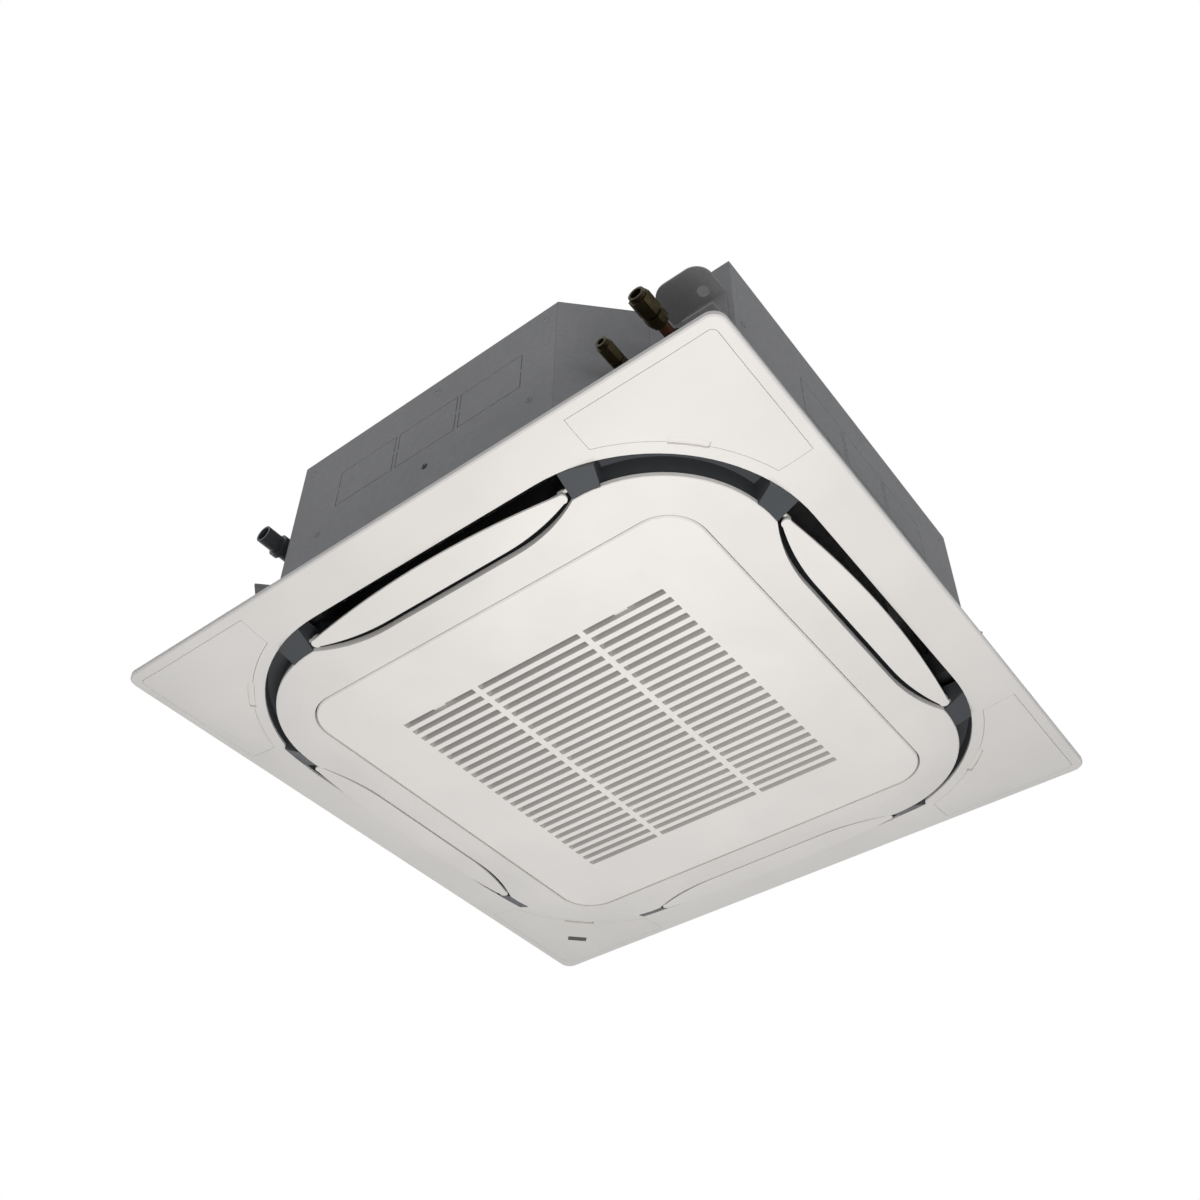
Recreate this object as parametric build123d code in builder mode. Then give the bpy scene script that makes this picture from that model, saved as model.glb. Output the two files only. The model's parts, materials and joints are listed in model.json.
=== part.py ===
from build123d import *
import math
import os

os.makedirs("parts", exist_ok=True)

# Ceiling cassette air conditioner. Millimetres, +Z up.
# The origin is on the panel's centre line at the height of the grille's room side.
# The pipes leave at the corner (+X, -Y); corners and flaps are numbered from there, +90 degrees each.

# ------------------------------------------------------------------ driving dimensions
# heights
rim_z = 32.0                 # lower edge of the panel's rim
ceiling_z = 40.0             # back of the rim, against the ceiling
panel_top = 60.0             # top of the panel's ducts
body_bottom = 68.0
body_height = 298.0
pan_top = 112.0              # top of the drain pan
trough_floor = 90.0          # floor of the pan's trough, under the coil
coil_top = 349.0

# decoration panel
panel_half = 475.0
rim_corner = 18.0
rim_round = 2.0
ring_half = 412.0            # outer edge of the outlet ring
ring_corner = 233.0
ring_z = 24.0
dome_slope = 4.5             # rise that the domed face would have if it stayed as flat as at the ring
dome_steps = 4
skin = 3.0
lip = 3.4                    # height of the white lips round the ring
upstand_step = 2.0           # from the lip to the wall behind it

# panel island, inside the outlet ring
island_half = 379.0
island_corner = 163.0
island_z = 6.5
island_wall_top = 13.5
scallop_y = 353.8            # flat stretch of the island's side beside a flap
scallop_flat = 107.0         # half length of that stretch
scallop_radius = 225.0
island_dish = ((360.0, 135.0, 4.3), (335.0, 95.0, 1.8))    # half width, corner and height of its curve

# suction opening, grille and slots
opening_half = 310.6
opening_corner = 55.0
opening_z = 0.5
collar_wall = 2.5
grille_gap = 2.0
grille_height = 20.0
grille_edge = 2.0            # chamfer along the grille's edge
grille_wall = 2.5
face_thick = 3.0
slot_count = 25
slot_pitch = 17.0
slot_width = 9.0
slot_round = 1.5
field_half = 214.0           # half length of a row of slots
field_border = 5.0
rib_x = 87.0
rib_width = 9.0
bar_depth = 12.0
bar_draft = -3.0             # degrees; the slots widen inward

# outlet ring
ring_gap = 0.3
ring_wall = 2.5
lip_gap = 0.4                # from the ring's blocks to the white lips
wall_inset = 2.0             # from the island's side to the ring's inner wall
block_x = 210.5              # end face of the connector block beside a flap
block_wall = 2.5
block_face = 2.0
block_step = 1.1             # from the island's edge up to the block's room side
block_top = 47.0
slant_inner = (237.0, 343.5) # the block's other end, seen from below
slant_outer = (275.3, 457.7)
roof_thick = 2.5

# flaps
flap_inner = 361.7
flap_outer = 405.0
flap_end = 206.0
flap_shoulder = 198.0
flap_flat = 95.0
flap_thick = 3.0
flap_tip_inner = 379.0
flap_tip_outer = 391.0
flap_low = ((356.0, 8.0), (383.0, 9.6), (410.0, 12.6))   # room side: distance and height
pivot_y = 386.5
pivot_z = 20.0
pivot_radius = 2.5
run_gap = 0.05               # radial play of a turning pin
lug_radius = 3.5
bush_radius = 4.0
bush_flange = 4.8
bush_rim = 1.5
bush_play = 0.1              # from a bush to its hole

# body casing
body_half = 420.0
corner_cut = 160.0
pipe_corner_x = 209.0        # where the piping corner starts on the -Y side
pipe_wall_y = 336.0          # wall of the piping corner
sheet = 1.5
flange_width = 12.0
liner_thick = 12.0
knock_z = (225.0, 297.0)
knock_start = -175.0
knock_width = 106.0
knock_gap = 5.0
knock_slit = 1.6
knock_tab = 4.0

# drain pan
pan_hole = 226.0
outlet_half = 208.0
outlet_y = (353.0, 406.0)
trough_gap = 15.0            # from the coil to the trough's sides
sump_floor = 84.0
sump_radius = 32.0
float_floor = 94.0
float_pocket = 18.0

# heat exchanger
coil_half = 330.0
coil_corner = 150.0
coil_thick = 45.0
coil_end = 215.0             # the two ends of the coil, at the piping corner
end_plate = 1.5
bend_rows = 6
bend_pitch = 42.0
bend_first = 115.0
bend_radius = 10.5
coil_tube_radius = 4.7

# fan, motor and bell mouth
fan_radius = 235.0
fan_top = 290.0
fan_sheet = 3.0
cup_radius = 88.0
cup_floor = 222.0
hub_radius = 16.0
hub_bottom = 212.0
hub_height = 20.0
shaft_radius = 6.0
shaft_bottom = 198.0
shaft_top = 310.0
nut_height = 8.0
neck_radius = 172.0
neck_z = 112.0
neck_top = 120.0
shroud_z = 150.0
blade_count = 7
blade_inner = 178.0
blade_sweep = 34.0           # degrees from the inner to the outer end
blade_thick = 5.0
motor_radius = 78.0
motor_bottom = 236.0
motor_top = 322.0
motor_plate = 4.0
mount_circle = 105.0
mount_radius = 12.0
mount_count = 3
bell_half = 322.0
bell_corner = 60.0
bell_plate = 3.0
bell_gap = 6.0               # between the bell's neck and the fan's neck
bell_mouth_radius = 222.0
bell_bend_top = 110.0
bell_top = 120.0

# pipes and their fittings
gas_radius = 7.94
gas_x = 333.0
gas_z = 267.0
gas_header = (250.0, 297.0)
gas_header_radius = 9.5
liquid_radius = 4.76
liquid_x = 280.0
liquid_z = 212.0
liquid_header = (297.0, 250.0)
liquid_header_radius = 6.0
fitting_tip_y = 420.0
bore_gap = 0.1               # between a pipe and the bore of its nut
cable_x = 370.0
cable_z = 130.0
cable_radius = 9.0

# drain
drain_x = 295.0
drain_z = 232.0
drain_radius = 13.0
drain_bore = 10.0
drain_tip_y = 441.0
hose_radius = 8.0
hose_bore = 6.0
hose_bend = 10.0
pump_at = 308.0              # the drain pump, on the diagonal of its corner
pump_radius = 24.0
pump_outlet_z = 108.0
float_at = (-345.0, -245.0)
float_travel = 12.0

# suspension, 780 x 710
hanger_x = 390.0
hanger_y = 355.0
hanger_z = 230.5
hanger_thick = 3.0
hanger_hole = 6.0
hanger_reach = 57.0
hanger_width = 53.0
hanger_height = 50.0

# corner covers and what holds the panel
screw_at = 385.0             # panel screws, under the corner covers
cover_edge = 460.0
cover_start = 262.0
cover_inset = 16.5           # from the ring's edge to the cover
cover_gap = 0.45
cover_thick = 2.5
cover_corner = 8.0
floor_lift = 3.3
lamp_at = (-394.0, 399.0)
lamp_size = (30.0, 12.0)

# grille hinge, latches and filter
hinge_y = 261.0
hinge_z = 8.0
hinge_x = 180.0
pin_radius = 2.0
eye_radius = 4.2
arm_width = 6.0
arm_thick = 5.0
latch_x = 150.0
latch_half = 14.0
latch_z = 13.2
latch_thick = 3.0
latch_travel = 4.5
slide_gap = 0.4
filter_half = 222.0
filter_start = -192.0
filter_end = 215.0
filter_thick = 4.0
net_thick = 0.6

# worked out from the above
body_top = body_bottom + body_height
top_sheet_z = body_top - sheet
grille_half = opening_half - grille_gap
grille_corner = opening_corner - grille_gap
field_y = slot_pitch * (slot_count - 1) / 2
field_depth = field_y + slot_width / 2
ring_centre = ring_half - ring_corner
block_rise = (ring_z - island_z) / (ring_half - island_half)
upstand_half = ring_half + upstand_step
upstand_corner = ring_corner + upstand_step
pan_bottom = body_bottom + sheet
chamfer_middle = body_half - corner_cut / 2
QUARTERS = (0, 90, 180, 270)


# ------------------------------------------------------------------ shared shapes
def finish(piece, name):
    """Name a finished piece and write its file."""
    piece.part.label = name
    export_step(piece.part, "parts/" + name + ".step")


def finish_copies(piece, name):
    """Write a quarter-turn piece four times, one for each side or corner."""
    for number, turn in enumerate(QUARTERS, start=1):
        with BuildPart() as placed:
            add(piece.part, rotation=(0, 0, turn))
        finish(placed, name + "_" + str(number))


def square(half, corner):
    """Plan of a rounded square about the centre line."""
    with BuildSketch(mode=Mode.PRIVATE) as plan:
        RectangleRounded(2 * half, 2 * half, corner)
    return plan.sketch


def plate(plan, low, high, mode=Mode.ADD):
    """A plan extruded between two heights."""
    with BuildSketch(Plane.XY.offset(low)) as base:
        add(plan)
    extrude(base.sketch, amount=high - low, mode=mode)


def wall(outer, inner, low, high, mode=Mode.ADD):
    """An upright wall between two plans."""
    with BuildSketch(Plane.XY.offset(low)) as band:
        add(outer)
        add(inner, mode=Mode.SUBTRACT)
    extrude(band.sketch, amount=high - low, mode=mode)


def cuboid(low, high, mode=Mode.ADD):
    """A box between two corners."""
    middle = [(a + b) / 2 for a, b in zip(low, high)]
    with Locations(tuple(middle)):
        Box(*[abs(b - a) for a, b in zip(low, high)], mode=mode)


def disc(centre, radius, low, high, mode=Mode.ADD):
    """An upright cylinder between two heights."""
    with BuildSketch(Plane.XY.offset(low)) as round_face:
        with Locations(centre):
            Circle(radius)
    extrude(round_face.sketch, amount=high - low, mode=mode)


def rod_x(start, end, y, z, radius, mode=Mode.ADD):
    """A cylinder along X."""
    with BuildSketch(Plane.YZ.offset(start)) as round_face:
        with Locations((y, z)):
            Circle(radius)
    extrude(round_face.sketch, amount=end - start, mode=mode)


def rod_out(start, end, x, z, radius, mode=Mode.ADD):
    """A cylinder along -Y; start and end are distances from the centre line towards -Y."""
    with BuildSketch(Plane.XZ.offset(start)) as round_face:
        with Locations((x, z)):
            Circle(radius)
    extrude(round_face.sketch, amount=end - start, mode=mode)


def spun(centre, profile, mode=Mode.ADD):
    """A body turned about an upright axis; the profile lists (radius, height)."""
    base = Plane((centre[0], centre[1], 0), x_dir=(1, 0, 0), z_dir=(0, -1, 0))
    with BuildSketch(base) as section:
        with BuildLine():
            Polyline(*profile, close=True)
        make_face()
    revolve(section.sketch, axis=Axis(base.origin, (0, 0, 1)), mode=mode)


def turned(x, z, profile, mode=Mode.ADD):
    """A body turned about an axis along -Y; the profile lists (distance towards -Y, radius)."""
    base = Plane((x, 0, z), x_dir=(0, -1, 0), z_dir=(1, 0, 0))
    with BuildSketch(base) as section:
        with BuildLine():
            Polyline(*profile, close=True)
        make_face()
    revolve(section.sketch, axis=Axis(base.origin, (0, -1, 0)), mode=mode)


def tube(route, radius, bend, mode=Mode.ADD):
    """A round bar along a route of straight runs joined by arcs."""
    with BuildLine() as path:
        FilletPolyline(*route, radius=bend)
    start = Plane(path.line @ 0, z_dir=path.line % 0)
    with BuildSketch(start) as section:
        Circle(radius)
    sweep(section.sketch, path=path.line, mode=mode)


def stack(sections, mode=Mode.ADD):
    """Fill the space between neighbouring rounded squares (half, corner, z)."""
    for lower, upper in zip(sections, sections[1:]):
        faces = []
        for half, corner, z in (lower, upper):
            with BuildSketch(Plane.XY.offset(z)) as section:
                RectangleRounded(2 * half, 2 * half, corner)
            faces.append(section.sketch.face())
        if lower[:2] == upper[:2]:
            extrude(faces[0], amount=upper[2] - lower[2], mode=mode)
        else:
            loft(faces, mode=mode)


def casing_face(inset):
    """Plan of the body, moved inward by inset."""
    side = body_half
    cut = body_half - corner_cut
    slant = side - pipe_wall_y
    outline = [
        (-cut, -side), (pipe_corner_x, -side), (pipe_corner_x + slant, -pipe_wall_y),
        (side, -pipe_wall_y), (side, cut), (cut, side), (-cut, side), (-side, cut), (-side, -cut),
    ]
    with BuildSketch(mode=Mode.PRIVATE) as plan:
        with BuildLine():
            Polyline(*outline, close=True)
        make_face()
        if inset > 0:
            offset(amount=-inset, kind=Kind.INTERSECTION)
    return plan.sketch


def chamfer_plane(z):
    """Plane on the body's chamfered corner (-X, -Y): x points outward, y along the chamfer."""
    return Plane((-chamfer_middle, -chamfer_middle, z), x_dir=(-1, -1, 0), z_dir=(0, 0, 1))


def corner_slab(low, high, mode=Mode.ADD):
    """A box in the chamfered corner (-X, -Y), between two corners (outward, along, z)."""
    with BuildSketch(chamfer_plane(low[2])) as base:
        with Locations(((low[0] + high[0]) / 2, (low[1] + high[1]) / 2)):
            Rectangle(high[0] - low[0], high[1] - low[1])
    extrude(base.sketch, amount=high[2] - low[2], mode=mode)


def island_face(grow):
    """Plan of the panel's island, with a shallow scallop beside each flap."""
    reach = island_half - scallop_y
    run = math.sqrt(scallop_radius ** 2 - (scallop_radius - reach) ** 2)
    end_x = scallop_flat + run
    mid_x = scallop_flat + run / 2
    mid_y = scallop_y + scallop_radius - math.sqrt(scallop_radius ** 2 - (run / 2) ** 2)
    beyond = island_half + skin
    with BuildSketch(mode=Mode.PRIVATE) as scallop:
        with BuildLine():
            Line((-scallop_flat, -scallop_y), (scallop_flat, -scallop_y))
            ThreePointArc((scallop_flat, -scallop_y), (mid_x, -mid_y), (end_x, -island_half))
            Polyline((end_x, -island_half), (end_x, -beyond), (-end_x, -beyond), (-end_x, -island_half))
            ThreePointArc((-end_x, -island_half), (-mid_x, -mid_y), (-scallop_flat, -scallop_y))
        make_face()
    with BuildSketch(mode=Mode.PRIVATE) as plan:
        RectangleRounded(2 * island_half, 2 * island_half, island_corner)
        for turn in QUARTERS:
            add(scallop.sketch, rotation=turn, mode=Mode.SUBTRACT)
        if grow != 0:
            offset(amount=grow, kind=Kind.INTERSECTION)
    return plan.sketch


# ------------------------------------------------------------------ the panel's domed face
def dome_section(share, inset=0.0, lift=0.0):
    """Rounded square of the domed face; share runs from the ring (0) to the rim (1)."""
    half = ring_half + share * (panel_half - rim_round - ring_half)
    corner = ring_corner + share * (rim_corner - rim_round - ring_corner)
    curve = rim_z - ring_z - dome_slope
    return (half + inset, corner + inset, ring_z + dome_slope * share + curve * share ** 2 + lift)


def diagonal(half, corner):
    """Distance from the centre line to a rounded square's corner."""
    return (half - corner) * math.sqrt(2) + corner


dome_shares = [1 - step / dome_steps for step in range(dome_steps + 1)]
frame_sections = [
    (panel_half, rim_corner, ceiling_z),
    (panel_half, rim_corner, rim_z + rim_round),
] + [dome_section(share) for share in dome_shares]
frame_cavity_sections = [
    (panel_half - skin, rim_corner - skin, ceiling_z + 1),
    (panel_half - skin, rim_corner - skin, rim_z + rim_round + skin),
    dome_section(0.5, lift=skin),
    dome_section(0.0, inset=skin, lift=skin),
]


def cover_face(grow):
    """Plan of the corner cover at +X, -Y."""
    radius = ring_corner + cover_inset - grow
    edge = cover_edge + grow
    start = cover_start - grow
    near = ring_centre + math.sqrt(radius ** 2 - (start - ring_centre) ** 2)
    middle = ring_centre + radius * math.sqrt(0.5)
    with BuildSketch(mode=Mode.PRIVATE) as plan:
        with BuildLine():
            Polyline((start, -near), (start, -edge), (edge, -edge), (edge, -start), (near, -start))
            ThreePointArc((near, -start), (middle, -middle), (start, -near))
        make_face()
        outer = plan.vertices().sort_by(Axis.X)[-2:].sort_by(Axis.Y)[0]
        fillet(outer, cover_corner + grow)
    return plan.sketch


notch_width = 9.0            # finger notch across the cover's edge beside the ring
notch_shift = 1.5
notch_angle = 11.0


def notch_face():
    """Plan of the finger notch of the cover at +X, -Y."""
    with BuildSketch(mode=Mode.PRIVATE) as notch:
        with BuildLine():
            CenterArc((ring_centre, -ring_centre), ring_corner + cover_inset + notch_shift,
                      -45 - notch_angle / 2, notch_angle)
        trace(line_width=notch_width)
    return notch.sketch


with BuildPart() as dome_body:
    stack(frame_sections)


def dome_patch(low, high, plan):
    """The layer between two lifts of the domed face, inside a plan."""
    with BuildPart(mode=Mode.PRIVATE) as patch:
        extrude(plan, amount=ceiling_z)
        with Locations((0, 0, low)):
            add(dome_body.part, mode=Mode.INTERSECT)
        with Locations((0, 0, high)):
            add(dome_body.part, mode=Mode.SUBTRACT)
    return patch.part


def all_covers(grow):
    """Plan of the four corner covers."""
    with BuildSketch(mode=Mode.PRIVATE) as plan:
        for turn in QUARTERS:
            add(cover_face(grow), rotation=turn)
    return plan.sketch


def all_notches():
    """Plan of the four finger notches."""
    with BuildSketch(mode=Mode.PRIVATE) as plan:
        for turn in QUARTERS:
            add(notch_face(), rotation=turn)
    return plan.sketch


# ------------------------------------------------------------------ panel frame
rib_places = (-345.0, -230.0, -115.0, 0.0, 115.0, 230.0, 345.0)
rib_thick = 2.0
boss_radius = 8.5
boss_inset = 0.8             # from the pocket's floor to the end of the boss
head_inset = 3.1             # from the back of the cover to the screw's head
head_height = 4.0
head_radius = 5.2
head_gap = 0.6
screw_radius = 2.5
screw_gap = 0.4
screw_tip = 74.0
lug_sheet = 2.0
post_at = ((290.0, -448.0), (448.0, -290.0), (430.0, -430.0))
post_radius = 2.5
post_gap = 0.6
lamp_gap = 0.3
ring_diagonal = diagonal(ring_half, ring_corner)
rim_diagonal = diagonal(panel_half - rim_round, rim_corner - rim_round)
screw_share = (screw_at * math.sqrt(2) - ring_diagonal) / (rim_diagonal - ring_diagonal)
screw_face = dome_section(screw_share)[2]
boss_start = screw_face + floor_lift + boss_inset
head_z = screw_face + cover_thick + head_inset
boss_shoulder = head_z + head_height
post_top = ceiling_z - 2
lug_z = body_bottom - lug_sheet

with BuildPart() as frame_cavity:
    stack(frame_cavity_sections)
    plate(square(upstand_half + skin, upstand_corner + skin), 0, ceiling_z + 5, Mode.SUBTRACT)
    for place in rib_places:
        half = rib_thick / 2
        cuboid((place - half, -panel_half, 0), (place + half, panel_half, ceiling_z - skin), Mode.SUBTRACT)
        cuboid((-panel_half, place - half, 0), (panel_half, place + half, ceiling_z - skin), Mode.SUBTRACT)

with BuildPart() as panel_frame:
    add(dome_body.part)
    add(frame_cavity.part, mode=Mode.SUBTRACT)
    add(dome_patch(skin - 1, floor_lift + cover_thick, all_covers(cover_gap + skin)))
    add(dome_patch(-skin, floor_lift, all_covers(cover_gap)), mode=Mode.SUBTRACT)
    add(dome_patch(-skin, floor_lift, all_notches()), mode=Mode.SUBTRACT)
    plate(square(upstand_half, upstand_corner), ring_z + lip, ceiling_z + 1, Mode.SUBTRACT)
    plate(square(ring_half, ring_corner), 0, ceiling_z, Mode.SUBTRACT)
    for turn in QUARTERS:
        with BuildSketch(Plane.XY.offset(boss_start).rotated((0, 0, turn))):
            with Locations((screw_at, -screw_at)):
                Circle(boss_radius)
        extrude(amount=lug_z - boss_start)
        with BuildSketch(Plane.XY.rotated((0, 0, turn))):
            with Locations((screw_at, -screw_at)):
                Circle(head_radius + head_gap)
        extrude(amount=boss_shoulder, mode=Mode.SUBTRACT)
        with BuildSketch(Plane.XY.rotated((0, 0, turn))):
            with Locations(*post_at):
                Circle(post_radius + post_gap)
        extrude(amount=ceiling_z, mode=Mode.SUBTRACT)
        with BuildSketch(Plane.XY.rotated((0, 0, turn))):
            with Locations((screw_at, -screw_at)):
                Circle(screw_radius + screw_gap)
        extrude(amount=lug_z, mode=Mode.SUBTRACT)
finish(panel_frame, "panel_frame")


# ------------------------------------------------------------------ corner covers and signal lamp
lamp_flange = 2.0
lamp_flange_thick = 0.5


def lamp_face(grow):
    """Plan of the signal lamp in the cover at -X, +Y."""
    with BuildSketch(mode=Mode.PRIVATE) as plan:
        with Locations(Location((lamp_at[0], lamp_at[1], 0), (0, 0, 45))):
            Rectangle(lamp_size[0] + 2 * grow, lamp_size[1] + 2 * grow)
    return plan.sketch


with BuildPart() as cover_posts:
    for place in post_at:
        disc(place, post_radius, ring_z, post_top)
    with Locations((0, 0, cover_thick / 2)):
        add(dome_body.part, mode=Mode.INTERSECT)

with BuildPart() as corner_cover:
    add(dome_patch(0.0, cover_thick, cover_face(0.0)))
    plate(notch_face(), 0, ceiling_z, Mode.SUBTRACT)
    add(cover_posts.part)

for number, turn in enumerate(QUARTERS, start=1):
    with BuildPart() as placed_cover:
        add(corner_cover.part, rotation=(0, 0, turn))
        if number == 3:
            plate(lamp_face(lamp_gap), 0, ceiling_z, Mode.SUBTRACT)
    finish(placed_cover, "corner_cover_" + str(number))

with BuildPart() as signal_lamp:
    add(dome_patch(0.0, cover_thick, lamp_face(0.0)))
    add(dome_patch(cover_thick, cover_thick + lamp_flange_thick, lamp_face(lamp_flange)))
finish(signal_lamp, "signal_lamp")


# ------------------------------------------------------------------ panel island
dish_outer, dish_inner = island_dish
island_sections = [
    (island_half, island_corner, island_wall_top),
    (island_half, island_corner, island_z + 1),
    (island_half - 1, island_corner - 1, island_z),
    dish_outer,
    dish_inner,
    (opening_half, opening_corner, opening_z),
]
island_cavity_sections = [
    (island_half - skin, island_corner - skin, island_wall_top + 1),
    (island_half - skin, island_corner - skin, island_z + 1 + skin),
    (dish_outer[0] - 2, dish_outer[1] - 2, dish_outer[2] + skin),
    (dish_inner[0] - 1, dish_inner[1] - 2, dish_inner[2] + skin),
    (opening_half - 1, opening_corner + 1, opening_z + skin),
]
catch_gap = 0.7              # round the latch in its catch
collar_outer = square(opening_half + collar_wall, opening_corner + collar_wall)
collar_inner = square(opening_half, opening_corner)
catch_half = latch_half + 1.0
latch_back_z = latch_z + latch_thick

with BuildPart() as island_cavity:
    stack(island_cavity_sections)
    plate(island_face(-collar_wall), 0, island_wall_top + 1, Mode.INTERSECT)
    plate(collar_outer, 0, island_wall_top + 1, Mode.SUBTRACT)

with BuildPart() as panel_island:
    stack(island_sections)
    plate(island_face(0), 0, island_wall_top, Mode.INTERSECT)
    add(island_cavity.part, mode=Mode.SUBTRACT)
    plate(collar_outer, opening_z + 1, panel_top)
    plate(collar_inner, 0, panel_top + 1, Mode.SUBTRACT)
    for side in (-1, 1):
        cuboid((side * latch_x - catch_half, -opening_half - collar_wall - 1, latch_z - catch_gap),
               (side * latch_x + catch_half, -opening_half + 1, latch_back_z + catch_gap), Mode.SUBTRACT)
finish(panel_island, "panel_island")


# ------------------------------------------------------------------ outlet ring
block_near = 330.0
block_far = 430.0
hollow_wall = 2.2            # of a block beside the island
slant_run = (slant_outer[0] - slant_inner[0]) / (slant_outer[1] - slant_inner[1])


def ring_face(inset):
    """Plan of the outlet ring's outer side, moved inward."""
    return square(upstand_half - ring_gap - inset, upstand_corner - ring_gap - inset)


def slant_x(y, inset):
    """Place of a block's slanted end at a distance y from the centre line."""
    return slant_inner[0] + slant_run * (y - slant_inner[1]) - inset


def block_low(y):
    """Height of a block's room side at a distance y from the centre line."""
    return island_z + block_step + block_rise * (y - island_half)


def block_prism(inset, lift):
    """A block beside the -Y flap, at its +X end, before it is fitted between the ring's walls."""
    with BuildPart(mode=Mode.PRIVATE) as prism:
        with BuildSketch(Plane.YZ.offset(block_x + inset)) as side:
            near_z = block_low(block_near) + lift
            far_z = block_low(block_far) + lift
            with BuildLine():
                Polyline((-block_near, near_z), (-block_far, far_z), (-block_far, block_top),
                         (-block_near, block_top), close=True)
            make_face()
        extrude(side.sketch, amount=slant_x(block_far, 0) - block_x)
        with BuildSketch() as plan:
            with BuildLine():
                Polyline((block_x, -block_near), (slant_x(block_near, inset), -block_near),
                         (slant_x(block_far, inset), -block_far), (block_x, -block_far), close=True)
            make_face()
        extrude(plan.sketch, amount=block_top, mode=Mode.INTERSECT)
    return prism.part


def block_layer(outer, inner, low):
    """The part of a block between two plans, above a height."""
    with BuildPart(mode=Mode.PRIVATE) as layer:
        add(block_prism(0, 0))
        wall(outer, inner, low, block_top, Mode.INTERSECT)
    return layer.part


low_outer = square(ring_half - lip_gap, ring_corner - lip_gap)
with BuildPart() as blocks:
    add(block_layer(low_outer, island_face(lip_gap), 0))
    add(block_layer(low_outer, island_face(-2 * wall_inset), island_wall_top + 0.3))
    add(block_layer(ring_face(1), island_face(-2 * wall_inset), ring_z + lip + 0.4))
    with BuildPart(mode=Mode.PRIVATE) as hollow:
        add(block_prism(block_wall, block_face))
        wall(ring_face(ring_wall + 2), island_face(hollow_wall), 0, block_top, Mode.INTERSECT)
    add(hollow.part, mode=Mode.SUBTRACT)
    rod_x(block_x - 1, block_x + block_wall + 1, -pivot_y, pivot_z, bush_radius, Mode.SUBTRACT)
    mirror(about=Plane.YZ)

with BuildPart() as corner_roof:
    with BuildSketch() as roof_plan:
        near, far = slant_inner[1], slant_outer[1]
        with BuildLine():
            Polyline((slant_x(near, 1), -near), (slant_x(far, 1), -far), (far, -far),
                     (far, -slant_x(far, 1)), (near, -slant_x(near, 1)), close=True)
        make_face()
        add(ring_face(1), mode=Mode.INTERSECT)
        add(island_face(-2 * wall_inset), mode=Mode.SUBTRACT)
    extrude(amount=block_top)
    cuboid((0, -body_half - 40, 0), (body_half + 40, 0, block_top - roof_thick), Mode.SUBTRACT)

with BuildPart() as outlet_ring:
    wall(ring_face(0), ring_face(ring_wall), ring_z + lip, panel_top)
    wall(island_face(-wall_inset), island_face(-wall_inset - ring_wall), island_wall_top, panel_top)
    for turn in QUARTERS:
        add(blocks.part, rotation=(0, 0, turn))
        add(corner_roof.part, rotation=(0, 0, turn))
finish(outlet_ring, "outlet_ring")


# ------------------------------------------------------------------ seals, lugs and screws of the panel
seal_width = 7.5
inner_seal_width = 6.0
lug_reach = 78.0
lug_half = 14.0
lug_under = 8.0
lug_height = 30.0
lug_hole = 2.7
nut_radius = 5.0
weld_nut_height = 4.0
pipe_lug_x = (371.0, 399.0)
pipe_lug_tip = 400.0

seal_inset = wall_inset + 1
inner_seal = island_face(-seal_inset)


def within_casing(plan, inset):
    """The part of a plan that lies under the body."""
    with BuildSketch(mode=Mode.PRIVATE) as kept:
        add(plan)
        add(casing_face(inset), mode=Mode.INTERSECT)
    return kept.sketch


seal_notch = 0.5             # round the foot of a lug
with BuildPart() as lug_room:
    corner_slab((-lug_under - seal_notch, -lug_half - seal_notch, panel_top),
                (lug_reach, lug_half + seal_notch, body_bottom))

with BuildPart() as panel_seals:
    wall(square(opening_half + seal_width, opening_corner + seal_width), collar_inner,
         panel_top, pan_bottom - bell_plate)
    wall(inner_seal, island_face(-seal_inset - inner_seal_width), panel_top, body_bottom)
    wall(within_casing(inner_seal, flange_width), island_face(-seal_inset - inner_seal_width),
         body_bottom, pan_bottom)
    wall(within_casing(ring_face(0), 0), ring_face(seal_width + 1), panel_top, body_bottom)
    for turn in (0, -90, 180):
        add(lug_room.part, rotation=(0, 0, turn), mode=Mode.SUBTRACT)
finish(panel_seals, "panel_seals")

with BuildPart() as corner_lug:
    corner_slab((-lug_under, -lug_half, lug_z), (lug_reach, lug_half, body_bottom))
    corner_slab((0, -lug_half, lug_z), (lug_sheet, lug_half, body_bottom + lug_height))
    disc((-screw_at, -screw_at), nut_radius, body_bottom, body_bottom + weld_nut_height)
    disc((-screw_at, -screw_at), lug_hole, lug_z, body_bottom, Mode.SUBTRACT)
    disc((-screw_at, -screw_at), screw_radius, body_bottom, body_bottom + weld_nut_height, Mode.SUBTRACT)

with BuildPart() as pipe_lug:
    cuboid((pipe_lug_x[0], -pipe_lug_tip, lug_z), (pipe_lug_x[1], -pipe_wall_y + lug_under, body_bottom))
    cuboid((pipe_lug_x[0], -pipe_wall_y - lug_sheet, lug_z),
           (pipe_lug_x[1], -pipe_wall_y, body_bottom + lug_height))
    disc((screw_at, -screw_at), nut_radius, body_bottom, body_bottom + weld_nut_height)
    disc((screw_at, -screw_at), lug_hole, lug_z, body_bottom, Mode.SUBTRACT)
    disc((screw_at, -screw_at), screw_radius, body_bottom, body_bottom + weld_nut_height, Mode.SUBTRACT)

with BuildPart() as panel_lugs:
    add(pipe_lug.part)
    for turn in (0, -90, 180):
        add(corner_lug.part, rotation=(0, 0, turn))
finish(panel_lugs, "panel_lugs")

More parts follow.
